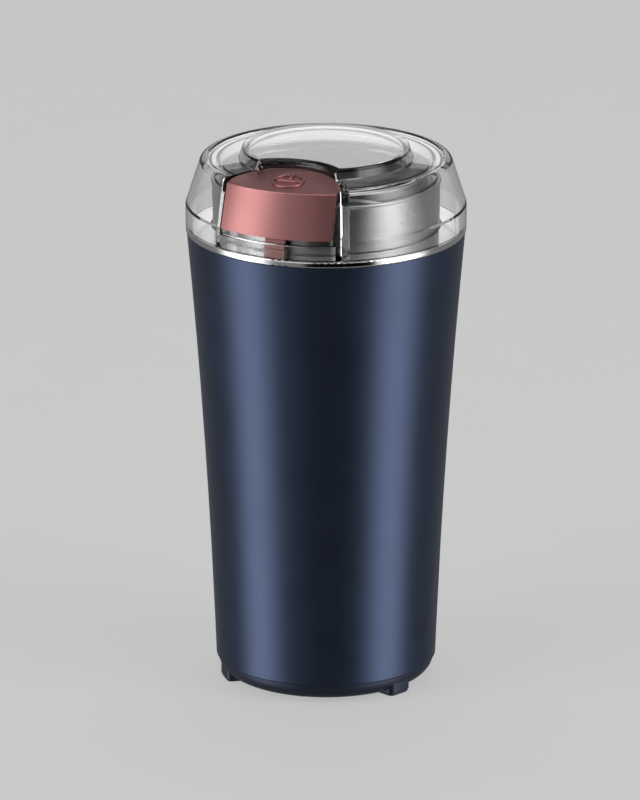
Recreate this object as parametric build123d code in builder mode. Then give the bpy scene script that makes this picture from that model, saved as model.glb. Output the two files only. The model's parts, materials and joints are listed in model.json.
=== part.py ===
from build123d import *

import os
from math import asin, cos, degrees, radians, sin, sqrt

# Electric spice grinder, in millimetres. +Z is up, the origin is the centre of the footprint
# on the surface that the feet stand on, and the press button faces -Y, the front.
# Azimuths are degrees from the front towards +X.

# ---- Fits -----------------------------------------------------------------------------------
slip_gap = 0.3  # between curved faces that stand or slide next to each other
running_gap = 0.05  # radial, a shaft, screw or pin in its hole
press_gap = 0.02  # radial, a piece pressed on its seat
contact_gap = 0.2  # between pieces that touch only while the button is pressed

# ---- Casing and base ------------------------------------------------------------------------
casing_foot_radius = 37.95
casing_top_radius = 47.7
casing_sweep_in = 1.07  # how far the side curves in from a straight taper
casing_wall = 2.2
casing_foot_round = 0.6
boss_height = 12.0
boss_radius = 4.2
boss_web = 2.4
foot_drop = 1.2
cover_rim_height = 5.8
cover_rim_step = 0.65
cover_rim_inset = 4.9
cover_rim_round = 6.0
cover_spigot_height = 5.0
cover_wall = 2.0
vent_count = 12
vent_radius = 15.5
vent_length = 12.0
vent_width = 2.2
foot_turn = 8.0
foot_azimuths = [60 + foot_turn, 180 + foot_turn, 300 + foot_turn]
foot_width = 9.8
foot_length = 9.0
foot_reach = 1.2  # how far a foot stands inside the casing's lower edge
foot_round = 2.2
foot_height = 4.0
foot_inset = 0.4
foot_pad_bevel = 0.36
base_screw_azimuths = [azimuth + 60 for azimuth in foot_azimuths]
base_screw_inset = 9.35  # from the casing's foot radius to the screws
screw_shank = 1.5
screw_head = 2.9
screw_head_height = 2.0
screw_bite = 8.0  # screw length inside its boss
screw_tip_gap = 1.0
recess_length = 1.1  # cross recess of a screw, in shares of the head's radius
recess_width = 0.24
recess_depth = 0.45  # as a share of the head's height

# ---- Cord gland at the lower rear -----------------------------------------------------------
gland_bore = 3.5
gland_neck = 4.9
gland_flange = 6.3
gland_flange_thickness = 1.4
gland_pad = 7.2
gland_pad_depth = 1.0  # depth of the flat face cut into the casing
gland_pad_wall = 2.4
gland_lip = 5.5
gland_taper = 0.6

# ---- Motor ----------------------------------------------------------------------------------
shaft_radius = 3.0
fan_gap = 2.0
shaft_overhang = 1.0  # of the shaft below the fan
shaft_chamfer = 0.4
fan_height = 9.0
fan_radius = 25.0
fan_blades = 12
fan_plate = 1.6
fan_blade_width = 1.4
fan_blade_bow = 2.2
fan_hub = 7.0
bush_gap = 2.0
bush_length = 7.0
bush_recess = 1.0  # from the upper bush to the top of its bracket
bush_radius = 6.0
bush_flange = 7.4
bush_flange_thickness = 1.2
bush_chamfer = 0.3
commutator_gap = 2.0
commutator_length = 11.0
commutator_radius = 9.5
riser_radius = 11.0
riser_length = 2.0
segment_count = 12
segment_slot = 0.6
segment_slot_depth = 1.2
winding_gap = 1.0
winding_height = 8.0
winding_bevel = 3.0
winding_standoff = 1.5
core_length = 26.0
core_radius = 15.0
core_air_gap = 0.4
core_slots = 12
slot_width = 3.0
slot_depth = 5.0
slot_mouth = 1.4
slot_bridge = 1.0  # from the slot to the rim of the core
slot_insulation = 0.1
stator_web = 6.1  # from the coil windows to the stack's sides
stator_back = 0.1  # from the windows' outer radius to its front and rear
stator_round = 10.0
horn_thickness = 1.9
coil_window = 5.6
coil_clearance = 0.3
coil_half_angle = 58.0
coil_clearance_angle = 1.0
pole_half_angle = 36.0
horn_gap_half_angle = 15.0
coil_overhang = 5.0
bracket_width = 16.0
bracket_plate = 6.0
bracket_arm = 6.4
bracket_hub = 9.0
bracket_round = 3.0
bracket_cap = 1.5  # left over the end of a through-bolt's hole
bolt_web = 3.1  # from the coil windows to the middle of a through-bolt
bolt_radius = 1.5
bolt_head = 2.8
bolt_head_height = 2.6
bolt_tip_gap = 0.5
mount_offset = 16.0
ear_reach = 5.0  # of the bracket's ears past the mounting screws
mount_shank = 1.95
mount_head = 4.3
mount_head_height = 2.2
grommet_radius = 5.4
grommet_flange = 2.0
grommet_neck = 3.3
brush_width = 6.2
brush_height = 4.2
brush_length = 9.5
brush_gap = 0.1
holder_wall = 1.4
holder_length = 16.0
holder_standoff = 2.5
holder_cap = 1.0
post_width = 10.0
post_length = 9.0
post_step = 1.0  # from the holder's inner end to its post
brush_spring_radius = 1.5
brush_spring_turns = 3
spring_wire = 0.5

# ---- Cup and its carrier --------------------------------------------------------------------
floor_thickness = 3.0
pad_thickness = 3.0
pad_margin = 0.5  # from the pad to where the cup's corner starts to curve
pad_seal_gap = 1.5
cup_below_deck = 44.2
cup_above_deck = 16.6
cup_inset = 9.1  # from the casing's top radius to the cup
cup_neck_step = 0.4
cup_taper = 4.1  # how much narrower the cup's foot is
cup_corner = 8.5
cup_wall = 0.9
cup_hole = 7.2
rim_roll = 0.4
rim_roll_height = 1.2
bead_width = 1.7
bead_height = 1.0
gasket_height = 0.5
frame_gap = 0.5
frame_wall = 1.4
flange_height = 4.0
frame_screw_offset = 3.6  # from the cup to the screws of the carrier
frame_screw_azimuths = [60, 180, 300]
frame_boss = 2.7
frame_head = 2.1
frame_head_height = 1.6
frame_shank = 1.2
rib_count = 6
rib_width = 1.6
rib_height = 9.0
rib_inset = 1.0
rib_taper = 4.0
window_height = 20.0
window_width = 17.0
window_rise = 8.0
window_round = 3.0
floor_hole = 9.6
ring_height = 2.5
ring_overhang = 0.3
ring_round = 0.7
ring_lip_gap = 0.7
peg_azimuths = [30, 150, 210, 330]
peg_offset = 4.0  # from the cup to the ring's pegs
peg_radius = 1.0
peg_length = 2.6

# ---- Blades ---------------------------------------------------------------------------------
seal_radius = 9.0
seal_flange = 1.5
seal_lip = 5.0
seal_lip_height = 1.4
seal_lip_wall = 0.8
seal_taper = 0.6
hub_gap = 0.6
hub_radius = 7.0
hub_height = 3.6
hub_chamfer = 0.8
blade_thickness = 1.2
blade_width = 11.0
blade_tip_gap = 4.6
blade_bend_start = 13.0
blade_edge_round = 1.0
blade_edge_share = 0.42  # half width at the tips, as a share of the width
blade_sweep_share = 0.8  # where the swept edge starts, as a share of the reach
lower_blade_angle = -12.0
upper_blade_angle = 28.0
shaft_flat = 2.5
nut_across = 9.0
nut_height = 4.0
nut_dome = 1.4
nut_cap = 0.5  # from the end of the thread to the top of the hexagon

# ---- Lid ------------------------------------------------------------------------------------
lid_overhang = 0.34  # of the lid past the casing's top
lid_band = 7.0
lid_cone_height = 14.7
lid_cone_inset = 4.74
lid_shoulder_height = 1.3
lid_shoulder_inset = 3.3
lid_crown = 0.7
lid_wall = 2.2
lid_plate = 2.5
disc_inset = 18.14  # from the lid's radius to the disc's foot
disc_draft = 1.4
disc_height = 3.3
disc_wall = 2.2
disc_round = 0.6
skirt_wall = 1.2
skirt_depth = 2.5

# ---- Button and its well in the lid ---------------------------------------------------------
button_half_width = 20.2
button_depth = 27.54  # from the lid's radius back to the middle of the rear arc
button_bulge = 14.0  # of that arc from its corners to its middle
button_corner_round = 1.2
button_clearance = 0.5
button_travel = 1.8
button_reveal = 0.2  # below the button, to the top of the lid's band
button_wall = 1.8
button_edge = 0.6
button_edge_height = 15.2  # from the band's top to the front upper edge
button_crown = 2.7  # rise of the crowned top over the front upper edge
crown_share = 0.75  # of the crown's rise that is reached half way in
plate_depth = 1.7  # front upper edge to the underside of the top plate
well_wall = 1.8
well_floor = 1.2
well_bottom_gap = 0.6
well_round = 1.7
shaft_gap = 1.2  # from the cup to the wall behind the button's front
shaft_wall = 1.2
tab_width = 7.2
tab_thickness = 2.0
tab_offset = 5.6  # from the cup to the front of the tab
tab_drop = 2.6  # from the deck to the tab's lower end
tab_root = 8.6  # height of the tab inside the button's front
post_offset = 9.0
post_inset = 3.5  # from the rear arc's corners back to the spring posts
post_radius = 1.1
post_collar = 2.5
post_collar_height = 0.5
button_spring_radius = 1.75
button_spring_turns = 4
spring_length = 9.4
spring_well_wall = 0.8

# ---- Switch ---------------------------------------------------------------------------------
slot_clearance = 0.2
plunger_collar = 1.5
plunger_round = 0.3
collar_gap = 0.3
collar_spread = 1.4
toe_width = 2.0
toe_length = 3.2
toe_offset = 0.1  # of the toe's inner face from the middle of the lever
lever_arm = 9.0
lever_overhang = 0.8
lever_thickness = 0.4
lever_width = 2.6
lever_eye = 0.75
hinge_pin = 0.4
ear_width = 1.9
ear_thickness = 0.8
switch_length = 12.8
switch_depth = 4.6
switch_height = 6.5
switch_margin = 1.0  # of its seat round the switch
switch_hole_offset = 3.25
switch_shank = 0.9
switch_head = 1.5
switch_head_height = 0.7
switch_screw_bite = 0.9
switch_pin_radius = 0.7
switch_pin_arm = 3.0
switch_pin_depth = 1.8  # of its hole in the switch
switch_pin_rest = 0.8  # of the pin in that hole, at rest
switch_pin_round = 0.3
terminal_length = 3.5
terminal_width = 2.0
terminal_thickness = 0.5
terminal_offset = 4.2

# ---- Suppressor capacitor on the base cover -------------------------------------------------
capacitor_length = 18.0
capacitor_depth = 8.0
capacitor_height = 13.0
capacitor_round = 1.0
capacitor_place = (-12.0, 17.0)
clip_wall = 1.4
clip_height = 5.0

# ---- Heights, stacked up from the floor -----------------------------------------------------
base_z = foot_drop
casing_z = base_z + cover_rim_height
boss_z = casing_z + cover_spigot_height
fan_z = boss_z + boss_height + fan_gap
lower_bush_z = fan_z + fan_height + bush_gap
commutator_z = lower_bush_z + bush_length + commutator_gap
winding_z = commutator_z + commutator_length + winding_gap
core_z = winding_z + winding_height
core_top = core_z + core_length
winding_top = core_top + winding_height
upper_bush_z = winding_top + bush_gap
motor_top = upper_bush_z + bush_length + bush_recess
floor_z = motor_top + grommet_flange
pad_z = floor_z + floor_thickness
cup_z = pad_z + pad_thickness
hub_z = cup_z + cup_wall + seal_flange + seal_lip_height + hub_gap
blade_z = hub_z + hub_height
nut_z = blade_z + 2 * blade_thickness
nut_top = nut_z + nut_height
deck_z = cup_z + cup_below_deck
rim_z = deck_z + cup_above_deck
casing_top = deck_z - ring_height
flange_z = casing_top - flange_height
band_z = deck_z + lid_band
cone_z = band_z + lid_cone_height
plate_z = cone_z + lid_shoulder_height
lid_top = plate_z + lid_crown + disc_height
floor_top = rim_z + well_bottom_gap - slip_gap + well_floor
edge_z = band_z + button_edge_height
underside_z = edge_z - plate_depth
button_z = band_z + button_reveal
notch_z = button_z - button_travel - 2 * contact_gap
tab_z = deck_z + tab_drop
spring_top = underside_z - post_collar_height
spring_z = spring_top - spring_length

# ---- Radii worked out from the sizes above --------------------------------------------------
base_screw_circle = casing_foot_radius - base_screw_inset
lid_radius = casing_top_radius + lid_overhang
cup_radius = casing_top_radius - cup_inset
cup_foot_radius = cup_radius - cup_taper
cup_flat = cup_foot_radius - cup_corner
bead_radius = cup_radius + bead_width
frame_screw_circle = cup_radius + frame_screw_offset
peg_circle = cup_radius + peg_offset
disc_radius = lid_radius - disc_inset
button_rear = lid_radius - button_depth
button_corner = button_rear + button_bulge
post_reach = button_corner - post_inset
shaft_wall_radius = cup_radius + shaft_gap
tab_centre = cup_radius + tab_offset - tab_thickness / 2
tab_front = tab_centre + tab_thickness / 2
casing_waist_radius = (casing_foot_radius + casing_top_radius) / 2 - casing_sweep_in
casing_side = ThreePointArc(
    (casing_foot_radius, casing_z),
    (casing_waist_radius, (casing_z + casing_top) / 2),
    (casing_top_radius, casing_top),
)


def casing_radius(z):
    """Outer radius of the casing at a height."""
    centre = casing_side.arc_center
    return centre.X - sqrt(casing_side.radius**2 - (z - centre.Y) ** 2)


def cup_outer(z):
    """Outer radius of the cup's tapered wall below the deck."""
    foot = cup_z + cup_corner
    share = (z - foot) / (casing_top - foot)
    return cup_foot_radius + share * (cup_radius - cup_neck_step - cup_foot_radius)


def cone_radius(z):
    """Outer radius of the lid's cone at a height."""
    return lid_radius - (z - band_z) / lid_cone_height * lid_cone_inset


flange_radius = casing_radius(flange_z) - casing_wall - slip_gap
bore_radius = core_radius + core_air_gap
window_inner = bore_radius + horn_thickness
window_outer = window_inner + coil_window
bolt_offset = window_outer + bolt_web
stator_width = 2 * (window_outer + stator_web)
stator_depth = 2 * (window_outer + stator_back)
ear_length = 2 * (mount_offset + ear_reach)
button_arc = (button_half_width**2 + button_bulge**2) / (2 * button_bulge)
lever_angle = degrees(asin(button_travel / lever_arm))
toe_z = flange_z - collar_gap - plunger_collar - toe_length
lever_x = tab_width / 2 - lever_arm
lever_z = toe_z - contact_gap - button_travel - lever_thickness / 2
switch_z = lever_z - lever_eye - 2 * running_gap - switch_height
switch_front = casing_radius(switch_z) - casing_wall - slip_gap - switch_head_height
switch_seat = switch_front - switch_depth
toe_inward = tab_front - tab_thickness - switch_seat - switch_depth / 2 - toe_offset
spot_y = casing_radius(boss_z + gland_pad) - gland_pad_depth
gland_z = boss_z + gland_pad + slip_gap


# ---- Helpers --------------------------------------------------------------------------------
def around(radius, azimuth, z=0.0):
    """Point at a radius and height, its azimuth in degrees from the front towards +X."""
    return Vector(radius * sin(radians(azimuth)), -radius * cos(radians(azimuth)), z)


def facing(radius, azimuth, z=0.0):
    """Location at that point, with its local X pointing outwards."""
    return Location(around(radius, azimuth, z), (0, 0, azimuth - 90))


def sector(inner, outer, azimuth, half_angle):
    """Sketch of a ring's stretch, half_angle to each side of an azimuth."""
    start = azimuth - 90 - half_angle
    with BuildSketch(mode=Mode.PRIVATE) as ring_part:
        with BuildLine():
            far = CenterArc((0, 0), outer, start, 2 * half_angle)
            near = CenterArc((0, 0), inner, start, 2 * half_angle)
            Line(near @ 0, far @ 0)
            Line(near @ 1, far @ 1)
        make_face()
    return ring_part.sketch


def button_outline(grow):
    """Sketch of the button seen from above, grown by a distance, open far past the front."""
    half = button_half_width + grow
    centre = button_rear + button_arc
    arc = button_arc + grow
    corner = centre - sqrt(arc**2 - half**2)
    with BuildSketch(mode=Mode.PRIVATE) as outline:
        with BuildLine():
            ThreePointArc((-half, -corner), (0, arc - centre), (half, -corner))
            Line((half, -corner), (half, -2 * lid_radius))
            Line((half, -2 * lid_radius), (-half, -2 * lid_radius))
            Line((-half, -2 * lid_radius), (-half, -corner))
        make_face()
        fillet(outline.vertices().group_by(Axis.Y)[-1], button_corner_round + max(grow, 0))
    return outline.sketch


def save(piece, name):
    """Label a finished sub-part and write it as the node of that name."""
    piece.part.label = name
    export_step(piece.part, f"parts/{name}.step")


def make_screws(name, places, head, head_height, shank, length):
    """Pan-head screws, each along its place's local -Z with the head's seat at the place."""
    depth = 2 * recess_depth * head_height
    with BuildPart() as screws:
        with Locations(*places):
            Cylinder(head, head_height, align=(Align.CENTER, Align.CENTER, Align.MIN))
            Cylinder(shank, length, align=(Align.CENTER, Align.CENTER, Align.MAX))
        with Locations(*[place * Pos(0, 0, head_height) for place in places]):
            Box(head * recess_length, head * recess_width, depth, mode=Mode.SUBTRACT)
            Box(head * recess_width, head * recess_length, depth, mode=Mode.SUBTRACT)
    save(screws, name)


def make_coil(radius, wire, turns, length):
    """Compression spring along +Z from the origin, of square wire."""
    with BuildPart() as coil:
        with BuildLine() as path:
            Helix((length - wire) / turns, length - wire, radius, center=(0, 0, wire / 2))
        with BuildSketch(Plane(origin=path.line @ 0, z_dir=path.line % 0)):
            Rectangle(wire, wire)
        sweep(path=path.line, is_frenet=True)
    return coil.part


# ---- Casing and base ------------------------------------------------------------------------
def make_outer_casing():
    """Tapered sleeve with its screw bosses and the flat for the cord gland."""
    middle = (casing_z + casing_top) / 2
    rear = Plane(origin=(0, 0, gland_z), x_dir=(-1, 0, 0), z_dir=(0, 1, 0))
    pad_y = spot_y - gland_pad_wall
    web_length = casing_radius(boss_z) - casing_wall / 2 - base_screw_circle
    with BuildPart() as casing:
        with BuildSketch(Plane.XZ):
            with BuildLine():
                outside = ThreePointArc(
                    (casing_foot_radius, casing_z),
                    (casing_waist_radius, middle),
                    (casing_top_radius, casing_top),
                )
                inside = ThreePointArc(
                    (casing_foot_radius - casing_wall, casing_z),
                    (casing_waist_radius - casing_wall, middle),
                    (casing_top_radius - casing_wall, casing_top),
                )
                Line(outside @ 0, inside @ 0)
                Line(outside @ 1, inside @ 1)
            make_face()
        revolve(axis=Axis.Z)
        foot_edges = casing.edges().group_by(Axis.Z)[0].sort_by(SortBy.RADIUS)
        fillet(foot_edges[-1], casing_foot_round)
        with BuildSketch(Plane.XY.offset(boss_z)):
            with Locations(*[facing(base_screw_circle, a) for a in base_screw_azimuths]):
                Circle(boss_radius)
                Rectangle(web_length, boss_web, align=(Align.MIN, Align.CENTER))
        extrude(amount=boss_height)
        with BuildSketch(Plane.XY.offset(flange_z)):
            with Locations(*[around(frame_screw_circle, a) for a in frame_screw_azimuths]):
                Circle(frame_boss)
        extrude(amount=-boss_height)
        with BuildSketch(rear.offset(pad_y)):
            Circle(gland_pad)
        extrude(amount=gland_pad_wall)
        with BuildSketch(rear.offset(spot_y)):
            Circle(gland_pad)
        extrude(amount=2 * gland_pad, mode=Mode.SUBTRACT)
        with BuildSketch(rear.offset(pad_y - casing_wall)):
            Circle(gland_neck + 2 * running_gap)
        extrude(amount=gland_pad, mode=Mode.SUBTRACT)
        with BuildSketch(Plane.XY.offset(boss_z)):
            with Locations(*[around(base_screw_circle, a) for a in base_screw_azimuths]):
                Circle(screw_shank + running_gap)
        extrude(amount=screw_bite + screw_tip_gap, mode=Mode.SUBTRACT)
        with BuildSketch(Plane.XY.offset(flange_z)):
            with Locations(*[around(frame_screw_circle, a) for a in frame_screw_azimuths]):
                Circle(frame_shank + running_gap)
        extrude(amount=-screw_bite - screw_tip_gap, mode=Mode.SUBTRACT)
    save(casing, "outer_casing")


def make_base_cover():
    """Dished cover with vents, feet lugs, screw pillars and the capacitor's clip."""
    rim = casing_foot_radius - cover_rim_step
    spigot = casing_foot_radius - casing_wall - slip_gap
    lug_centre = casing_foot_radius - foot_reach - foot_length / 2
    with BuildPart() as cover:
        with BuildSketch(Plane.XZ):
            with BuildLine():
                Line((0, base_z), (rim - cover_rim_inset, base_z))
                RadiusArc((rim - cover_rim_inset, base_z), (rim, casing_z), -cover_rim_round)
                Polyline(
                    (rim, casing_z),
                    (spigot, casing_z),
                    (spigot, boss_z),
                    (spigot - cover_wall, boss_z),
                    (spigot - cover_wall, casing_z),
                    (spigot - 2 * cover_wall, base_z + cover_wall),
                    (0, base_z + cover_wall),
                    (0, base_z),
                )
            make_face()
        revolve(axis=Axis.Z)
        with BuildSketch(Plane.XY.offset(base_z)):
            with Locations(*[facing(lug_centre, a) for a in foot_azimuths]):
                RectangleRounded(foot_length, foot_width, foot_round)
        extrude(amount=foot_height)
        with BuildSketch(Plane.XY.offset(base_z)):
            with Locations(*[around(base_screw_circle, a) for a in base_screw_azimuths]):
                Circle(boss_radius)
        extrude(amount=boss_z - base_z)
        with BuildSketch(Plane.XY.offset(base_z)):
            with Locations(*[around(base_screw_circle, a) for a in base_screw_azimuths]):
                Circle(screw_shank + running_gap)
        extrude(amount=boss_z - base_z, mode=Mode.SUBTRACT)
        with BuildSketch(Plane.XY.offset(base_z)):
            with Locations(*[around(base_screw_circle, a) for a in base_screw_azimuths]):
                Circle(screw_head + slip_gap)
        extrude(amount=screw_head_height + slip_gap, mode=Mode.SUBTRACT)
        with BuildSketch(Plane.XY.offset(base_z)):
            with PolarLocations(vent_radius, vent_count):
                SlotOverall(vent_length, vent_width)
        extrude(amount=cover_wall, mode=Mode.SUBTRACT)
        with BuildSketch(Plane.XY.offset(base_z + cover_wall)):
            with Locations(capacitor_place):
                Rectangle(capacitor_length / 2, capacitor_depth + 2 * clip_wall + 2 * running_gap)
        extrude(amount=clip_height)
        with BuildSketch(Plane.XY.offset(base_z + cover_wall)):
            with Locations(capacitor_place):
                Rectangle(capacitor_length, capacitor_depth + 2 * running_gap)
        extrude(amount=clip_height, mode=Mode.SUBTRACT)
    save(cover, "base_cover")


def make_foot_pads():
    """Rubber pads under the three lugs."""
    lug_centre = casing_foot_radius - foot_reach - foot_length / 2
    with BuildPart() as pads:
        with BuildSketch():
            with Locations(*[facing(lug_centre, a) for a in foot_azimuths]):
                RectangleRounded(
                    foot_length - 2 * foot_inset,
                    foot_width - 2 * foot_inset,
                    foot_round - foot_inset,
                )
        extrude(amount=foot_drop)
        chamfer(pads.edges().group_by(Axis.Z)[0], foot_pad_bevel)
    save(pads, "foot_pads")


def make_base_fittings():
    """Cover screws, the cord gland and the suppressor capacitor."""
    seat = base_z + screw_head_height + slip_gap
    down = [
        Location(around(base_screw_circle, a, seat), (180, 0, 0)) for a in base_screw_azimuths
    ]
    make_screws(
        "base_screws",
        down,
        screw_head,
        screw_head_height,
        screw_shank,
        boss_z + screw_bite - seat,
    )
    inner_y = spot_y - gland_pad_wall
    with BuildPart() as gland:
        with BuildSketch(Plane.YZ):
            with BuildLine():
                Polyline(
                    (inner_y - gland_flange_thickness, gland_z + gland_bore),
                    (inner_y - gland_flange_thickness, gland_z + gland_neck),
                    (inner_y, gland_z + gland_lip),
                    (inner_y, gland_z + gland_neck),
                    (spot_y, gland_z + gland_neck),
                    (spot_y, gland_z + gland_flange),
                    (spot_y + gland_flange_thickness, gland_z + gland_flange - gland_taper),
                    (spot_y + gland_flange_thickness, gland_z + gland_bore),
                    close=True,
                )
            make_face()
        revolve(axis=Axis((0, 0, gland_z), (0, 1, 0)))
    save(gland, "cord_gland")
    with BuildPart() as capacitor:
        with Locations((*capacitor_place, base_z + cover_wall)):
            Box(
                capacitor_length,
                capacitor_depth,
                capacitor_height,
                align=(Align.CENTER, Align.CENTER, Align.MIN),
            )
        fillet(capacitor.edges().filter_by(Axis.Z), capacitor_round)
        fillet(capacitor.faces().sort_by(Axis.Z)[-1].edges(), capacitor_round)
    save(capacitor, "suppressor_capacitor")


# ---- Cup carrier, cup and ring --------------------------------------------------------------
def make_inner_frame():
    """Carrier that hangs in the casing by its flange and holds the cup and the motor."""
    foot = cup_z + cup_corner
    inner_foot = cup_foot_radius + frame_gap
    inner_top = cup_outer(casing_top) + frame_gap
    outer_top = cup_outer(flange_z) + frame_gap + frame_wall
    with BuildPart() as frame:
        with BuildSketch(Plane.XZ):
            with BuildLine():
                Polyline(
                    (floor_hole, floor_z),
                    (inner_foot + frame_wall, floor_z),
                    (inner_foot + frame_wall, foot),
                    (outer_top, flange_z),
                    (flange_radius, flange_z),
                    (flange_radius, casing_top),
                    (inner_top, casing_top),
                    (inner_foot, foot),
                    (inner_foot, pad_z),
                    (floor_hole, pad_z),
                    close=True,
                )
            make_face()
        revolve(axis=Axis.Z)
        with BuildSketch(Plane.XY.offset(flange_z)):
            with Locations(*[facing(cup_outer(flange_z), 30 + 60 * k) for k in range(rib_count)]):
                Rectangle(
                    flange_radius - cup_outer(flange_z) - rib_inset,
                    rib_width,
                    align=(Align.MIN, Align.CENTER),
                )
            Circle(cup_outer(flange_z) + frame_gap + frame_wall / 2, mode=Mode.SUBTRACT)
        extrude(amount=-rib_height, taper=rib_taper)
        for azimuth in frame_screw_azimuths:
            window = Plane(
                origin=around(cup_foot_radius, azimuth, foot + window_rise),
                x_dir=around(1, azimuth + 90),
                z_dir=around(1, azimuth),
            )
            with BuildSketch(window):
                RectangleRounded(
                    window_width, window_height, window_round, align=(Align.CENTER, Align.MIN)
                )
            extrude(amount=flange_radius - cup_foot_radius, mode=Mode.SUBTRACT)
        with BuildSketch(Plane.XY.offset(flange_z)):
            with Locations(*[around(frame_screw_circle, a) for a in frame_screw_azimuths]):
                Circle(frame_boss + slip_gap)
        extrude(amount=-boss_height - slip_gap, mode=Mode.SUBTRACT)
        with BuildSketch(Plane.XY.offset(flange_z)):
            with Locations(*[around(frame_screw_circle, a) for a in frame_screw_azimuths]):
                Circle(frame_shank + running_gap)
            with Locations(*[around(peg_circle, a) for a in peg_azimuths]):
                Circle(peg_radius + 2 * running_gap)
            with Locations((0, -tab_centre)):
                Rectangle(tab_width + 2 * slot_clearance, tab_thickness + 2 * slot_clearance)
        extrude(amount=flange_height, mode=Mode.SUBTRACT)
        with BuildSketch(Plane.XY.offset(casing_top)):
            with Locations(*[around(frame_screw_circle, a) for a in frame_screw_azimuths]):
                Circle(frame_head + slip_gap)
        extrude(amount=-frame_head_height - contact_gap, mode=Mode.SUBTRACT)
        with BuildSketch(Plane.XY.offset(floor_z)):
            with Locations((0, mount_offset), (0, -mount_offset)):
                Circle(grommet_neck + 2 * running_gap)
        extrude(amount=floor_thickness, mode=Mode.SUBTRACT)
        with BuildSketch(Plane.XY.offset(switch_z - switch_margin)):
            with Locations((0, -switch_seat)):
                Rectangle(
                    switch_length + 2 * switch_margin,
                    switch_depth,
                    align=(Align.CENTER, Align.MAX),
                )
        extrude(amount=toe_z - switch_z + 2 * switch_margin, mode=Mode.SUBTRACT)
        front = Plane(origin=(0, 0, switch_z + switch_height / 2), x_dir=(1, 0, 0), z_dir=(0, -1, 0))
        with BuildSketch(front.offset(cup_foot_radius)):
            with Locations((switch_hole_offset, 0), (-switch_hole_offset, 0)):
                Circle(switch_shank + running_gap)
        extrude(amount=switch_seat - cup_foot_radius + frame_wall, mode=Mode.SUBTRACT)
    save(frame, "inner_frame")


def make_cup():
    """Steel cup with a rolled rim and the bead that the ring clamps."""
    neck = cup_radius - cup_neck_step
    bead_top = casing_top + bead_height
    foot = cup_z + cup_corner
    with BuildPart() as cup:
        with BuildSketch(Plane.XZ):
            with BuildLine():
                Line((cup_hole, cup_z), (cup_flat, cup_z))
                TangentArc((cup_flat, cup_z), (cup_foot_radius, foot), tangent=(1, 0))
                Polyline(
                    (cup_foot_radius, foot),
                    (neck, casing_top),
                    (bead_radius, casing_top),
                    (bead_radius, bead_top),
                    (cup_radius, bead_top),
                    (cup_radius, rim_z - rim_roll_height),
                )
                ThreePointArc(
                    (cup_radius, rim_z - rim_roll_height),
                    (cup_radius + rim_roll, rim_z - rim_roll_height / 2),
                    (cup_radius - cup_wall / 2, rim_z),
                )
                ThreePointArc(
                    (cup_radius - cup_wall / 2, rim_z),
                    (cup_radius - cup_wall * 0.85, rim_z - cup_wall * 0.15),
                    (cup_radius - cup_wall, rim_z - cup_wall / 2),
                )
                Polyline(
                    (cup_radius - cup_wall, rim_z - cup_wall / 2),
                    (cup_radius - cup_wall, bead_top),
                    (neck - cup_wall, casing_top),
                    (cup_foot_radius - cup_wall, foot),
                )
                TangentArc(
                    (cup_flat, cup_z + cup_wall), (cup_foot_radius - cup_wall, foot), tangent=(1, 0)
                )
                Line((cup_flat, cup_z + cup_wall), (cup_hole, cup_z + cup_wall))
                Line((cup_hole, cup_z + cup_wall), (cup_hole, cup_z))
            make_face()
        revolve(axis=Axis.Z)
    save(cup, "grinding_cup")


def make_cup_gasket():
    """Flat ring between the cup's bead and the chrome ring."""
    with BuildPart() as gasket:
        with BuildSketch(Plane.XY.offset(casing_top + bead_height)):
            Circle(bead_radius)
            Circle(cup_radius + slip_gap, mode=Mode.SUBTRACT)
        extrude(amount=gasket_height)
    save(gasket, "cup_gasket")


def make_cup_pad():
    """Soft pad between the cup and its carrier, open round the seal and the screws' heads."""
    with BuildPart() as pad:
        with BuildSketch(Plane.XY.offset(pad_z)):
            Circle(cup_flat - pad_margin)
            Circle(seal_radius + pad_seal_gap, mode=Mode.SUBTRACT)
            with Locations((0, mount_offset), (0, -mount_offset)):
                Circle(mount_head + slip_gap, mode=Mode.SUBTRACT)
        extrude(amount=pad_thickness)
    save(pad, "cup_pad")


def make_chrome_ring():
    """Plated ring under the lid, with pegs into the carrier and the plunger's slot."""
    outer = casing_top_radius + ring_overhang
    lip = cup_radius + ring_lip_gap
    body = bead_radius + slip_gap
    step = casing_top + bead_height + gasket_height
    with BuildPart() as ring:
        with BuildSketch(Plane.XZ):
            with BuildLine():
                Polyline(
                    (body, casing_top),
                    (outer, casing_top),
                    (outer, deck_z),
                    (lip, deck_z),
                    (lip, step),
                    (body, step),
                    close=True,
                )
            make_face()
        revolve(axis=Axis.Z)
        fillet(ring.edges().filter_by(GeomType.CIRCLE).sort_by(SortBy.RADIUS)[-2:], ring_round)
        with BuildSketch(Plane.XY.offset(casing_top)):
            with Locations(*[around(peg_circle, a) for a in peg_azimuths]):
                Circle(peg_radius)
        extrude(amount=-peg_length)
        with BuildSketch(Plane.XY.offset(casing_top)):
            with Locations((0, -tab_centre)):
                Rectangle(tab_width + 2 * slot_clearance, tab_thickness + 2 * slot_clearance)
        extrude(amount=ring_height, mode=Mode.SUBTRACT)
    save(ring, "chrome_ring")


def make_frame_screws():
    """Screws through the carrier's flange into the casing's upper bosses."""
    seat = casing_top - frame_head_height - contact_gap
    places = [Location(around(frame_screw_circle, a, seat)) for a in frame_screw_azimuths]
    length = seat - flange_z + screw_bite
    make_screws("frame_screws", places, frame_head, frame_head_height, frame_shank, length)


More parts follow.
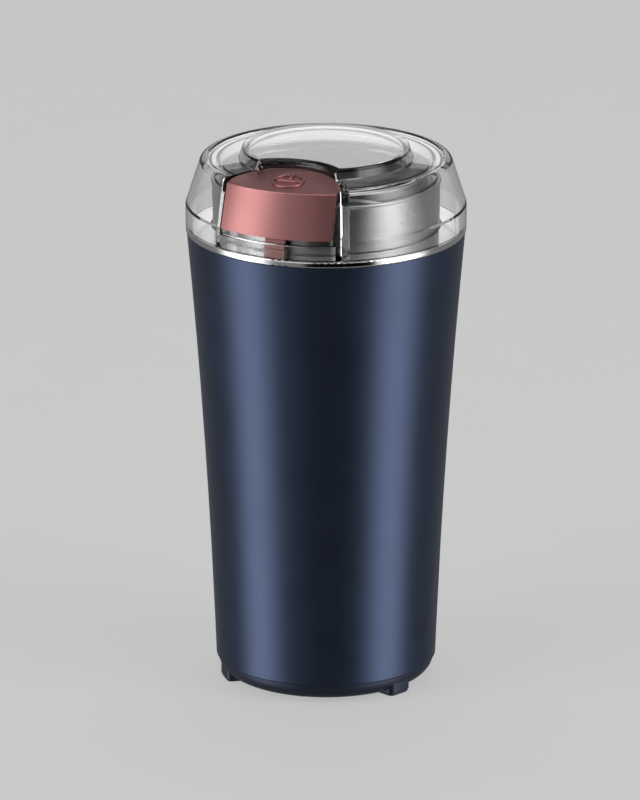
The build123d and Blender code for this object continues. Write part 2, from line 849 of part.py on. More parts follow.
# ---- Motor ----------------------------------------------------------------------------------
def make_stator_core():
    """Laminated stack with two poles and the windows beside them."""
    with BuildPart() as core:
        with BuildSketch(Plane.XY.offset(core_z)):
            RectangleRounded(stator_width, stator_depth, stator_round)
            Circle(bore_radius, mode=Mode.SUBTRACT)
            for side in (90, 270):
                add(sector(window_inner, window_outer, side, 90 - pole_half_angle), mode=Mode.SUBTRACT)
                add(sector(core_radius, window_outer, side, horn_gap_half_angle), mode=Mode.SUBTRACT)
            with Locations((bolt_offset, 0), (-bolt_offset, 0)):
                Circle(bolt_radius + running_gap, mode=Mode.SUBTRACT)
        extrude(amount=core_length)
    save(core, "stator_core")


def make_field_coils():
    """Two saddle coils, one round each pole."""
    inner = window_inner + coil_clearance
    outer = window_outer - coil_clearance
    with BuildPart() as coils:
        with BuildSketch(Plane.XY.offset(core_z - coil_overhang)):
            for pole in (0, 180):
                add(sector(inner, outer, pole, coil_half_angle))
        extrude(amount=core_length + 2 * coil_overhang)
        with BuildSketch(Plane.XY.offset(core_z)):
            for pole in (0, 180):
                add(sector(core_radius, stator_width, pole, pole_half_angle + coil_clearance_angle))
        extrude(amount=core_length, mode=Mode.SUBTRACT)
    save(coils, "field_coils")


def make_upper_bracket():
    """Bridge over the upper winding, with the bush seat and two ears for the carrier."""
    with BuildPart() as bracket:
        with BuildSketch(Plane.XY.offset(motor_top - bracket_plate)):
            RectangleRounded(stator_width, bracket_width, bracket_round)
            RectangleRounded(bracket_width, ear_length, bracket_round)
            Circle(bracket_hub + bracket_round)
        extrude(amount=bracket_plate)
        with BuildSketch(Plane.XY.offset(core_top)):
            with Locations(*[((stator_width - bracket_arm) / 2 * side, 0) for side in (1, -1)]):
                Rectangle(bracket_arm, bracket_width)
        extrude(amount=motor_top - bracket_plate - core_top)
        with BuildSketch(Plane.XY.offset(upper_bush_z)):
            Circle(bracket_hub)
        extrude(amount=motor_top - upper_bush_z)
        with BuildSketch(Plane.XY.offset(upper_bush_z)):
            Circle(bush_radius + press_gap)
        extrude(amount=motor_top - upper_bush_z, mode=Mode.SUBTRACT)
        with BuildSketch(Plane.XY.offset(motor_top)):
            with Locations((0, mount_offset), (0, -mount_offset)):
                Circle(mount_shank + running_gap)
        extrude(amount=-bracket_plate, mode=Mode.SUBTRACT)
        with BuildSketch(Plane.XY.offset(core_top)):
            with Locations((bolt_offset, 0), (-bolt_offset, 0)):
                Circle(bolt_radius + running_gap)
        extrude(amount=motor_top - core_top - bracket_cap, mode=Mode.SUBTRACT)
    save(bracket, "upper_bracket")


def make_lower_bracket():
    """Bridge under the commutator, with the bush seat and the posts of the brush holders."""
    plate_top = lower_bush_z + bracket_plate
    holder_z = commutator_z + (commutator_length - riser_length) / 2 - brush_height / 2
    post_top = holder_z - holder_wall
    post_centre = commutator_radius + holder_standoff + post_step + post_length / 2
    with BuildPart() as bracket:
        with BuildSketch(Plane.XY.offset(lower_bush_z)):
            RectangleRounded(stator_width, bracket_width, bracket_round)
            RectangleRounded(bracket_width, 2 * post_centre + post_length, bracket_round)
        extrude(amount=bracket_plate)
        with BuildSketch(Plane.XY.offset(plate_top)):
            with Locations(*[((stator_width - bracket_arm) / 2 * side, 0) for side in (1, -1)]):
                Rectangle(bracket_arm, bracket_width)
        extrude(amount=core_z - plate_top)
        with BuildSketch(Plane.XY.offset(plate_top)):
            with Locations((0, post_centre), (0, -post_centre)):
                Rectangle(post_width, post_length)
        extrude(amount=post_top - plate_top)
        with BuildSketch(Plane.XY.offset(lower_bush_z)):
            Circle(bracket_hub)
        extrude(amount=bush_length)
        with BuildSketch(Plane.XY.offset(lower_bush_z)):
            Circle(bush_radius + press_gap)
        extrude(amount=bush_length, mode=Mode.SUBTRACT)
        with BuildSketch(Plane.XY.offset(lower_bush_z)):
            with Locations((bolt_offset, 0), (-bolt_offset, 0)):
                Circle(bolt_radius + running_gap)
        extrude(amount=core_z - lower_bush_z, mode=Mode.SUBTRACT)
        with BuildSketch(Plane.XY.offset(lower_bush_z)):
            with Locations((bolt_offset, 0), (-bolt_offset, 0)):
                Circle(bolt_head + slip_gap)
        extrude(amount=bolt_head_height + slip_gap, mode=Mode.SUBTRACT)
    save(bracket, "lower_bracket")


def make_bush(name, z, flange_up):
    """Sintered bush with a flange on its inner end."""
    flange_z_low = z + bush_length if flange_up else z - bush_flange_thickness
    with BuildPart() as bush:
        with BuildSketch(Plane.XY.offset(z)):
            Circle(bush_radius)
        extrude(amount=bush_length)
        with BuildSketch(Plane.XY.offset(flange_z_low)):
            Circle(bush_flange)
        extrude(amount=bush_flange_thickness)
        with BuildSketch(Plane.XY.offset(z - 2 * bush_length)):
            Circle(shaft_radius + running_gap)
        extrude(amount=4 * bush_length, mode=Mode.SUBTRACT)
        chamfer(bush.faces().sort_by(Axis.Z)[-1].outer_wire().edges(), bush_chamfer)
    save(bush, name)


def make_motor_fasteners():
    """Through-bolts of the motor, and the screws and grommets that hang it in the carrier."""
    seat = lower_bush_z + bolt_head_height + slip_gap
    bolts = [Location((side * bolt_offset, 0, seat), (180, 0, 0)) for side in (1, -1)]
    length = motor_top - bracket_cap - bolt_tip_gap - seat
    make_screws("motor_bolts", bolts, bolt_head, bolt_head_height, bolt_radius, length)
    mounts = [Location((0, side * mount_offset, pad_z)) for side in (1, -1)]
    reach = pad_z - motor_top + bracket_plate - bolt_tip_gap
    make_screws(
        "motor_mount_screws", mounts, mount_head, mount_head_height, mount_shank, reach
    )
    with BuildPart() as grommets:
        with BuildSketch(Plane.XY.offset(motor_top)):
            with Locations((0, mount_offset), (0, -mount_offset)):
                Circle(grommet_radius)
        extrude(amount=grommet_flange)
        with BuildSketch(Plane.XY.offset(floor_z)):
            with Locations((0, mount_offset), (0, -mount_offset)):
                Circle(grommet_neck)
        extrude(amount=floor_thickness)
        with BuildSketch(Plane.XY.offset(motor_top)):
            with Locations((0, mount_offset), (0, -mount_offset)):
                Circle(mount_shank + 3 * running_gap)
        extrude(amount=pad_z - motor_top, mode=Mode.SUBTRACT)
    save(grommets, "motor_grommets")


def make_brush_gear():
    """Two holders, the brushes in them and the springs behind the brushes."""
    mid_z = commutator_z + (commutator_length - riser_length) / 2
    inner_y = commutator_radius + holder_standoff
    outer_y = inner_y + holder_length
    tip_y = commutator_radius + brush_gap
    brush_end = tip_y + brush_length
    with BuildPart() as holders:
        for side in (1, -1):
            with BuildSketch(Plane.XY.offset(mid_z - brush_height / 2 - holder_wall)):
                with Locations((0, side * (inner_y + outer_y) / 2)):
                    Rectangle(brush_width + 2 * holder_wall, holder_length)
            extrude(amount=brush_height + 2 * holder_wall)
            with BuildSketch(Plane.XY.offset(mid_z - brush_height / 2 - running_gap)):
                with Locations((0, side * (inner_y + outer_y) / 2 - side * holder_cap)):
                    Rectangle(brush_width + 2 * running_gap, holder_length)
            extrude(amount=brush_height + 2 * running_gap, mode=Mode.SUBTRACT)
    save(holders, "brush_holders")
    with BuildPart() as brushes:
        with BuildSketch(Plane.XY.offset(mid_z - brush_height / 2)):
            for side in (1, -1):
                with Locations((0, side * (commutator_radius + brush_end) / 2)):
                    Rectangle(brush_width, brush_end - commutator_radius)
            Circle(tip_y, mode=Mode.SUBTRACT)
        extrude(amount=brush_height)
    save(brushes, "carbon_brushes")
    length = outer_y - holder_cap - brush_end
    coil = make_coil(brush_spring_radius, spring_wire, brush_spring_turns, length)
    with BuildPart() as springs:
        with Locations(
            Location((0, brush_end, mid_z), (-90, 0, 0)), Location((0, -brush_end, mid_z), (90, 0, 0))
        ):
            add(coil)
    save(springs, "brush_springs")


def make_rotor():
    """Shaft, laminated core, windings, commutator and fan."""
    shaft_foot = fan_z - shaft_overhang
    with BuildPart() as shaft:
        with BuildSketch(Plane.XY.offset(shaft_foot)):
            Circle(shaft_radius)
        extrude(amount=nut_top - nut_cap - 2 * running_gap - shaft_foot)
        with BuildSketch(Plane.XY.offset(blade_z)):
            for side in (1, -1):
                with Locations((0, side * (shaft_flat + shaft_radius))):
                    Rectangle(4 * shaft_radius, 2 * shaft_radius)
        extrude(amount=2 * blade_thickness, mode=Mode.SUBTRACT)
        chamfer(shaft.faces().sort_by(Axis.Z)[-1].edges(), shaft_chamfer)
        chamfer(shaft.faces().sort_by(Axis.Z)[0].edges(), shaft_chamfer)
    save(shaft, "motor_shaft")
    slot_centre = core_radius - slot_bridge - slot_depth / 2
    with BuildPart() as core:
        with BuildSketch(Plane.XY.offset(core_z)):
            Circle(core_radius)
            Circle(shaft_radius + press_gap, mode=Mode.SUBTRACT)
            with PolarLocations(slot_centre, core_slots):
                Rectangle(slot_depth, slot_width, mode=Mode.SUBTRACT)
            with PolarLocations(core_radius, core_slots):
                Rectangle(slot_depth, slot_mouth, mode=Mode.SUBTRACT)
        extrude(amount=core_length)
    save(core, "armature_core")
    head_inner = shaft_radius + winding_standoff
    head_outer = core_radius - slot_bridge - slot_insulation
    with BuildPart() as winding:
        for near, far in ((core_z, winding_z), (core_top, winding_top)):
            bevel = winding_bevel if far > near else -winding_bevel
            with BuildSketch(Plane.XZ):
                with BuildLine():
                    Polyline(
                        (head_inner, near),
                        (head_outer, near),
                        (head_outer, far - bevel),
                        (head_outer - winding_bevel, far),
                        (head_inner, far),
                        close=True,
                    )
                make_face()
            revolve(axis=Axis.Z)
        with BuildSketch(Plane.XY.offset(core_z)):
            with PolarLocations(slot_centre, core_slots):
                Rectangle(slot_depth - 2 * slot_insulation, slot_width - 2 * slot_insulation)
        extrude(amount=core_length)
    save(winding, "armature_winding")
    with BuildPart() as commutator:
        with BuildSketch(Plane.XY.offset(commutator_z)):
            Circle(commutator_radius)
        extrude(amount=commutator_length)
        with BuildSketch(Plane.XY.offset(commutator_z + commutator_length - riser_length)):
            Circle(riser_radius)
        extrude(amount=riser_length)
        with BuildSketch(Plane.XY.offset(commutator_z)):
            Circle(shaft_radius + press_gap)
            with PolarLocations(commutator_radius - segment_slot_depth, segment_count):
                Rectangle(2 * riser_radius, segment_slot, align=(Align.MIN, Align.CENTER))
        extrude(amount=commutator_length, mode=Mode.SUBTRACT)
    save(commutator, "commutator")


def make_fan():
    """Radial fan with curved blades under its plate."""
    with BuildSketch() as blade:
        with BuildLine():
            ThreePointArc(
                (fan_hub - fan_blade_width / 2, 0),
                ((fan_hub + fan_radius) / 2, fan_blade_bow),
                (fan_radius - fan_blade_width / 2, 0),
            )
        trace(line_width=fan_blade_width)
    with BuildPart() as fan:
        with BuildSketch(Plane.XY.offset(fan_z)):
            Circle(fan_hub)
            with PolarLocations(0, fan_blades):
                add(blade.sketch)
        extrude(amount=fan_height - fan_plate)
        with BuildSketch(Plane.XY.offset(fan_z + fan_height - fan_plate)):
            Circle(fan_radius)
        extrude(amount=fan_plate)
        with BuildSketch(Plane.XY.offset(fan_z)):
            Circle(shaft_radius + press_gap)
        extrude(amount=fan_height, mode=Mode.SUBTRACT)
    save(fan, "cooling_fan")


# ---- Blades in the cup ----------------------------------------------------------------------
def make_shaft_seal():
    """Rubber lip seal gripping the edge of the cup's hole."""
    inside = cup_z + cup_wall
    bore = shaft_radius + running_gap
    with BuildPart() as seal:
        with BuildSketch(Plane.XZ):
            with BuildLine():
                Polyline(
                    (bore, cup_z - seal_flange),
                    (seal_radius, cup_z - seal_flange),
                    (seal_radius, cup_z),
                    (cup_hole - 2 * running_gap, cup_z),
                    (cup_hole - 2 * running_gap, inside),
                    (seal_radius, inside),
                    (seal_radius - seal_taper, inside + seal_flange),
                    (seal_lip, inside + seal_flange),
                    (bore + seal_lip_wall, inside + seal_flange + seal_lip_height),
                    (bore, inside + seal_flange + seal_lip_height),
                    close=True,
                )
            make_face()
        revolve(axis=Axis.Z)
    save(seal, "shaft_seal")


def make_blade(name, z, tip_angle, turn):
    """Bent steel blade with two sharpened, swept wings."""
    reach = cup_foot_radius - cup_wall - blade_tip_gap
    run = reach - blade_bend_start
    rise = run * sin(radians(tip_angle))
    level = z + blade_thickness / 2
    edge = blade_width * blade_edge_share
    with BuildPart() as blade:
        with BuildSketch(Plane.XZ):
            with BuildLine():
                Polyline(
                    (-reach, level + rise),
                    (-blade_bend_start, level),
                    (blade_bend_start, level),
                    (reach, level + rise),
                )
            trace(line_width=blade_thickness)
        extrude(amount=blade_width / 2, both=True)
        with BuildSketch(Plane.XY.offset(z - reach)):
            with BuildLine():
                FilletPolyline(
                    (-reach, -edge),
                    (-reach, 0),
                    (-blade_bend_start, blade_width / 2),
                    (reach * blade_sweep_share, edge),
                    (reach, edge),
                    (reach, 0),
                    (blade_bend_start, -blade_width / 2),
                    (-reach * blade_sweep_share, -edge),
                    radius=blade_edge_round,
                    close=True,
                )
            make_face()
        extrude(amount=2 * reach, mode=Mode.INTERSECT)
    with BuildPart() as fitted:
        add(blade.part, rotation=(0, 0, turn))
        with BuildSketch(Plane.XY.offset(z)):
            Circle(shaft_radius + running_gap)
            Rectangle(4 * shaft_radius, 2 * (shaft_flat + running_gap), mode=Mode.INTERSECT)
        extrude(amount=blade_thickness, mode=Mode.SUBTRACT)
    save(fitted, name)


def make_blade_hub_and_nut():
    """Hub that carries the blades and the domed nut that clamps them."""
    dome = nut_across / 2 - nut_cap
    dome_z = nut_top - nut_cap
    thread = shaft_radius + press_gap
    with BuildPart() as hub:
        with BuildSketch(Plane.XY.offset(hub_z)):
            Circle(hub_radius)
            Circle(shaft_radius + press_gap, mode=Mode.SUBTRACT)
        extrude(amount=hub_height)
        chamfer(hub.faces().sort_by(Axis.Z)[0].outer_wire().edges(), hub_chamfer)
    save(hub, "blade_hub")
    with BuildPart() as nut:
        with BuildSketch(Plane.XZ):
            with BuildLine():
                Polyline((thread, nut_z), (dome, nut_z), (dome, nut_top))
                RadiusArc((dome, nut_top), (nut_cap, nut_top + nut_dome), -dome)
                Line((nut_cap, nut_top + nut_dome), (0, nut_top + nut_dome))
                Polyline((0, nut_top + nut_dome), (0, dome_z), (thread, dome_z), (thread, nut_z))
            make_face()
        revolve(axis=Axis.Z)
        with BuildSketch(Plane.XY.offset(nut_z)):
            RegularPolygon(nut_across / 2, 6, major_radius=False)
            Circle((thread + dome) / 2, mode=Mode.SUBTRACT)
        extrude(amount=nut_height)
    save(nut, "blade_nut")


# ---- Lid ------------------------------------------------------------------------------------
def lid_profile(inset, top_inset, disc_inset):
    """Face of the lid's outline turned about Z, moved inwards by a wall."""
    cone_top = lid_radius - lid_cone_inset
    shoulder = cone_top - lid_shoulder_inset
    top = lid_top - disc_inset
    edge = plate_z + lid_crown - top_inset
    with BuildSketch(Plane.XZ, mode=Mode.PRIVATE) as profile:
        with BuildLine():
            Line((0, deck_z), (lid_radius - inset, deck_z))
            Line((lid_radius - inset, deck_z), (lid_radius - inset, band_z))
            Line((lid_radius - inset, band_z), (cone_top - inset, cone_z - inset / 2))
            TangentArc(
                (cone_top - inset, cone_z - inset / 2),
                (shoulder - inset / 2, plate_z - top_inset),
                tangent=(-lid_cone_inset, lid_cone_height),
            )
            Polyline(
                (shoulder - inset / 2, plate_z - top_inset),
                (disc_radius - disc_inset, edge),
                (disc_radius - disc_draft - disc_inset, top),
                (0, top),
                (0, deck_z),
            )
        make_face()
    return profile.sketch


def make_lid_cavity():
    """Hollow under the lid, without the walls of the button's well and shaft."""
    with BuildPart() as cavity:
        add(lid_profile(lid_wall, lid_plate, disc_wall))
        revolve(axis=Axis.Z)
        with BuildSketch(Plane.XY.offset(floor_top - well_floor)):
            add(button_outline(button_clearance + well_wall))
        extrude(amount=lid_top - floor_top + well_floor, mode=Mode.SUBTRACT)
        with BuildSketch(Plane.XY.offset(deck_z)):
            Rectangle(
                2 * (button_half_width + button_clearance + well_wall),
                2 * lid_radius,
                align=(Align.CENTER, Align.MAX),
            )
            Circle(shaft_wall_radius, mode=Mode.SUBTRACT)
        extrude(amount=lid_top - deck_z, mode=Mode.SUBTRACT)
    return cavity.part


def make_lid():
    """Clear lid with its raised disc, locating skirt and the well of the button."""
    cavity = make_lid_cavity()
    shaft_half = button_half_width + button_clearance
    skirt = cup_radius - cup_wall - slip_gap
    well_spring = button_spring_radius + spring_wire / 2 + slip_gap
    with BuildPart() as lid:
        add(lid_profile(0, 0, 0))
        revolve(axis=Axis.Z)
        add(cavity, mode=Mode.SUBTRACT)
        with BuildSketch(Plane.XY.offset(rim_z - skirt_depth)):
            Circle(skirt)
            Circle(skirt - skirt_wall, mode=Mode.SUBTRACT)
        extrude(amount=plate_z - lid_plate / 2 - rim_z + skirt_depth)
        with BuildSketch(Plane.XY.offset(spring_z - spring_well_wall)):
            with Locations((post_offset, -post_reach), (-post_offset, -post_reach)):
                Circle(well_spring + spring_well_wall)
        extrude(amount=floor_top - spring_z + spring_well_wall)
        with BuildSketch(Plane.XY.offset(floor_top)):
            add(button_outline(button_clearance))
        extrude(amount=lid_top - floor_top, mode=Mode.SUBTRACT)
        with BuildSketch(Plane.XY.offset(deck_z)):
            Rectangle(2 * shaft_half, 2 * lid_radius, align=(Align.CENTER, Align.MAX))
            Circle(shaft_wall_radius + shaft_wall, mode=Mode.SUBTRACT)
            Circle(lid_radius - lid_wall, mode=Mode.INTERSECT)
        extrude(amount=lid_top - deck_z, mode=Mode.SUBTRACT)
        with BuildSketch(Plane.XY.offset(notch_z)):
            Rectangle(2 * shaft_half, 2 * lid_radius, align=(Align.CENTER, Align.MAX))
            Circle(shaft_wall_radius + shaft_wall, mode=Mode.SUBTRACT)
        extrude(amount=lid_top - notch_z, mode=Mode.SUBTRACT)
        with BuildSketch(Plane.XY.offset(spring_z)):
            with Locations((post_offset, -post_reach), (-post_offset, -post_reach)):
                Circle(well_spring)
        extrude(amount=floor_top - spring_z, mode=Mode.SUBTRACT)
        top_edges = lid.edges().filter_by(GeomType.CIRCLE).group_by(Axis.Z)[-1]
        fillet(top_edges.sort_by(lambda edge: edge.arc_center.Y)[0], well_round)
        top_edges = lid.edges().filter_by(GeomType.CIRCLE).group_by(Axis.Z)[-1]
        fillet(top_edges.sort_by(lambda edge: edge.arc_center.Y)[-1], disc_round)
    save(lid, "lid")


def make_press_button():
    """Cap with a crowned top, a front that follows the lid's cone, and the switch tab."""
    front_foot = cone_radius(button_z)
    front_top = cone_radius(edge_z)
    clear = shaft_wall_radius + shaft_wall + slip_gap
    crown_top = edge_z + button_crown
    recess_edge = edge_z - button_wall + contact_gap
    with BuildPart() as hollow:
        with BuildSketch(Plane.XZ):
            with BuildLine():
                Polyline(
                    (clear, button_z),
                    (front_foot - button_wall, button_z),
                    (cone_radius(underside_z) - button_wall, underside_z),
                    (clear, underside_z),
                    close=True,
                )
            make_face()
        revolve(axis=Axis.Z)
        with BuildSketch(Plane.XY.offset(button_z)):
            Rectangle(
                2 * (button_half_width - button_wall),
                2 * lid_radius,
                align=(Align.CENTER, Align.MAX),
            )
        extrude(amount=underside_z - button_z, mode=Mode.INTERSECT)
    with BuildPart() as recess:
        with BuildSketch(Plane.XZ):
            with BuildLine():
                Line((0, underside_z), (clear, underside_z))
                Line((clear, underside_z), (clear, recess_edge))
                ThreePointArc(
                    (clear, recess_edge),
                    (clear / 2, edge_z - button_wall + button_crown * crown_share),
                    (0, crown_top - button_wall),
                )
                Line((0, crown_top - button_wall), (0, underside_z))
            make_face()
        revolve(axis=Axis.Z)
        with BuildSketch(Plane.XY.offset(underside_z)):
            add(button_outline(-button_wall))
        extrude(amount=button_crown + plate_depth, mode=Mode.INTERSECT)
        with BuildSketch(Plane.XY.offset(underside_z)):
            with Locations((post_offset, -post_reach), (-post_offset, -post_reach)):
                Circle(post_collar)
        extrude(amount=button_crown + plate_depth, mode=Mode.SUBTRACT)
    with BuildPart() as button:
        with BuildSketch(Plane.XZ):
            with BuildLine():
                Line((0, button_z), (front_foot, button_z))
                Line((front_foot, button_z), (front_top, edge_z))
                ThreePointArc(
                    (front_top, edge_z),
                    (front_top / 2, edge_z + button_crown * crown_share),
                    (0, crown_top),
                )
                Line((0, crown_top), (0, button_z))
            make_face()
        revolve(axis=Axis.Z)
        with BuildSketch(Plane.XY.offset(button_z)):
            add(button_outline(0))
        extrude(amount=crown_top - button_z, mode=Mode.INTERSECT)
        with BuildSketch(Plane.XY.offset(button_z)):
            Circle(clear)
        extrude(amount=underside_z - button_z, mode=Mode.SUBTRACT)
        top = button.faces().sort_by(Axis.Z)[-1]
        fillet(top.edges(), button_edge)
        add(hollow.part, mode=Mode.SUBTRACT)
        add(recess.part, mode=Mode.SUBTRACT)
        with BuildSketch(Plane.XY.offset(tab_z)):
            with Locations((0, -tab_centre)):
                Rectangle(tab_width, tab_thickness)
        extrude(amount=button_z + tab_root - tab_z)
        with BuildSketch(Plane.XY.offset(spring_top)):
            with Locations((post_offset, -post_reach), (-post_offset, -post_reach)):
                Circle(post_collar)
        extrude(amount=post_collar_height)
        with BuildSketch(Plane.XY.offset(spring_top)):
            with Locations((post_offset, -post_reach), (-post_offset, -post_reach)):
                Circle(post_radius)
        extrude(amount=-spring_length / 2)
    save(button, "press_button")


def make_button_springs():
    """Springs between the floor of the well and the collars under the button."""
    coil = make_coil(button_spring_radius, spring_wire, button_spring_turns, spring_length)
    with BuildPart() as springs:
        with Locations((post_offset, -post_reach, spring_z), (-post_offset, -post_reach, spring_z)):
            add(coil)
    save(springs, "button_springs")


# ---- Switch ---------------------------------------------------------------------------------
def make_switch_plunger():
    """Plunger through the ring, with a collar that stops it and a toe over the lever."""
    collar_top = flange_z - collar_gap
    with BuildPart() as plunger:
        with BuildSketch(Plane.XY.offset(collar_top - plunger_collar)):
            with Locations((0, -tab_centre)):
                Rectangle(tab_width, tab_thickness)
        extrude(amount=tab_z - contact_gap - collar_top + plunger_collar)
        fillet(plunger.edges().group_by(Axis.Z)[-1], plunger_round)
        with BuildSketch(Plane.XY.offset(collar_top - plunger_collar)):
            with Locations((0, -tab_front)):
                Rectangle(
                    tab_width + 2 * collar_spread,
                    tab_thickness + toe_inward,
                    align=(Align.CENTER, Align.MIN),
                )
        extrude(amount=plunger_collar)
        with BuildSketch(Plane.XY.offset(collar_top - plunger_collar)):
            with Locations((tab_width / 2, -tab_front)):
                Rectangle(toe_width, tab_thickness + toe_inward, align=(Align.MAX, Align.MIN))
        extrude(amount=-toe_length)
    save(plunger, "switch_plunger")


def make_microswitch():
    """Small lever switch: body with hinge ears, terminals, screws, pin and lever."""
    back = -switch_seat
    middle = back - switch_depth / 2
    body_top = switch_z + switch_height
    rise = lever_z - body_top - lever_thickness / 2 - contact_gap / 2
    rise += switch_pin_arm * sin(radians(lever_angle))
    front = Plane(origin=(0, 0, switch_z + switch_height / 2), x_dir=(1, 0, 0), z_dir=(0, -1, 0))
    hinge = Plane(origin=(lever_x, 0, lever_z), x_dir=(1, 0, 0), z_dir=(0, -1, 0))
    with BuildPart() as body:
        with BuildSketch(Plane.XY.offset(switch_z)):
            with Locations((0, middle)):
                Rectangle(switch_length, switch_depth)
        extrude(amount=switch_height)
        with BuildSketch(Plane.XY.offset(body_top)):
            for side in (1, -1):
                with Locations((lever_x, middle + side * (switch_depth - ear_thickness) / 2)):
                    Rectangle(ear_width, ear_thickness)
        extrude(amount=lever_z + lever_eye - body_top)
        with BuildSketch(hinge.offset(switch_seat + ear_thickness / 2)):
            Circle(hinge_pin)
        extrude(amount=switch_depth - ear_thickness)
        with BuildSketch(Plane.XY.offset(body_top)):
            with Locations((lever_x + switch_pin_arm, middle)):
                Circle(switch_pin_radius + running_gap)
        extrude(amount=-switch_pin_depth, mode=Mode.SUBTRACT)
        with BuildSketch(front.offset(switch_seat)):
            with Locations((switch_hole_offset, 0), (-switch_hole_offset, 0)):
                Circle(switch_shank + running_gap)
        extrude(amount=switch_depth, mode=Mode.SUBTRACT)
    save(body, "microswitch")
    with BuildPart() as terminals:
        with BuildSketch(Plane.XY.offset(switch_z)):
            with Locations((-terminal_offset, middle), (0, middle), (terminal_offset, middle)):
                Rectangle(terminal_width, terminal_thickness)
        extrude(amount=-terminal_length)
    save(terminals, "switch_terminals")
    with BuildPart() as pin:
        with BuildSketch(Plane.XY.offset(body_top - switch_pin_rest)):
            with Locations((lever_x + switch_pin_arm, middle)):
                Circle(switch_pin_radius)
        extrude(amount=switch_pin_rest + rise)
        fillet(pin.edges().group_by(Axis.Z)[-1], switch_pin_round)
    save(pin, "switch_pin")
    tilt = Plane(
        origin=(lever_x, middle, lever_z),
        x_dir=(cos(radians(lever_angle)), 0, sin(radians(lever_angle))),
        z_dir=(0, -1, 0),
    )
    with BuildPart() as lever:
        with BuildSketch(tilt):
            Circle(lever_eye)
            Rectangle(
                lever_arm + lever_overhang, lever_thickness, align=(Align.MIN, Align.CENTER)
            )
            Circle(hinge_pin + running_gap, mode=Mode.SUBTRACT)
        extrude(amount=lever_width / 2, both=True)
    save(lever, "switch_lever")
    seat_y = back - switch_depth
    screw_reach = switch_depth + switch_screw_bite
    places = [
        Location((side * switch_hole_offset, seat_y, switch_z + switch_height / 2), (90, 0, 0))
        for side in (1, -1)
    ]
    make_screws(
        "switch_screws", places, switch_head, switch_head_height, switch_shank, screw_reach
    )


os.makedirs("parts", exist_ok=True)
make_outer_casing()
make_base_cover()
make_foot_pads()
make_base_fittings()
make_inner_frame()
make_cup()
make_cup_gasket()
make_cup_pad()
make_chrome_ring()
make_frame_screws()
make_stator_core()
make_field_coils()
make_upper_bracket()
make_lower_bracket()
make_bush("upper_bush", upper_bush_z, False)
make_bush("lower_bush", lower_bush_z, True)
make_motor_fasteners()
make_brush_gear()
make_rotor()
make_fan()
make_shaft_seal()
make_blade("lower_blade", blade_z, lower_blade_angle, 0)
make_blade("upper_blade", blade_z + blade_thickness, upper_blade_angle, 90)
make_blade_hub_and_nut()
make_lid()
make_press_button()
make_button_springs()
make_switch_plunger()
make_microswitch()
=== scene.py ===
"""Electric spice grinder: finishes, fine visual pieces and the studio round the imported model.

Lengths are metres. +Z is up, the origin is the centre of the footprint and the press button
faces -Y.
"""

import json
import logging
import math
from dataclasses import dataclass
from enum import Enum
from typing import Any, Callable, ClassVar, Iterable, Sequence

import bmesh
import bpy
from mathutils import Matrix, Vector


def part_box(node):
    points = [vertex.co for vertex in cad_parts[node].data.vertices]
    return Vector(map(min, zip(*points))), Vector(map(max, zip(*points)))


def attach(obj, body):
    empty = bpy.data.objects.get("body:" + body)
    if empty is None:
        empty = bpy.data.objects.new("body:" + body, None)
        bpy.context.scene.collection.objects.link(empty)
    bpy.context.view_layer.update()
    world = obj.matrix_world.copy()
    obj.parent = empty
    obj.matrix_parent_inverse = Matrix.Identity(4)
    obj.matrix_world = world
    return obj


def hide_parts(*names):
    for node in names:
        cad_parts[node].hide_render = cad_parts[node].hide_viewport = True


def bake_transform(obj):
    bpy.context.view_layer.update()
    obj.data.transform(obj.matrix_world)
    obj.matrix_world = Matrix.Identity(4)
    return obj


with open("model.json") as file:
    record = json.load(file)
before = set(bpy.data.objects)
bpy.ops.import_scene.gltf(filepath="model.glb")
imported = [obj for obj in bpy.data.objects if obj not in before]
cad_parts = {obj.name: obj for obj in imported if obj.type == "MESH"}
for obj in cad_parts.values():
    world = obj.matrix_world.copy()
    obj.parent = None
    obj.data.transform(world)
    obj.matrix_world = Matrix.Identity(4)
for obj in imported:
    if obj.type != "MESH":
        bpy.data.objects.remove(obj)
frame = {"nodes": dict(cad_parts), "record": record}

LOG = logging.getLogger("spice_grinder")
MM = 0.001
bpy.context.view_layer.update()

NODE_SPACING = 220
WHITE = (1.0, 1.0, 1.0, 1.0)
ALONG = ("Along X", "Along Y", "Along Z")

Colour = tuple[float, float, float]
Point = tuple[float, float, float]
Track = tuple[tuple[float, float], ...]
Socket = bpy.types.NodeSocket
Sockets = dict[str, Socket]
Fill = Callable[["Bench", Sockets], Sockets]


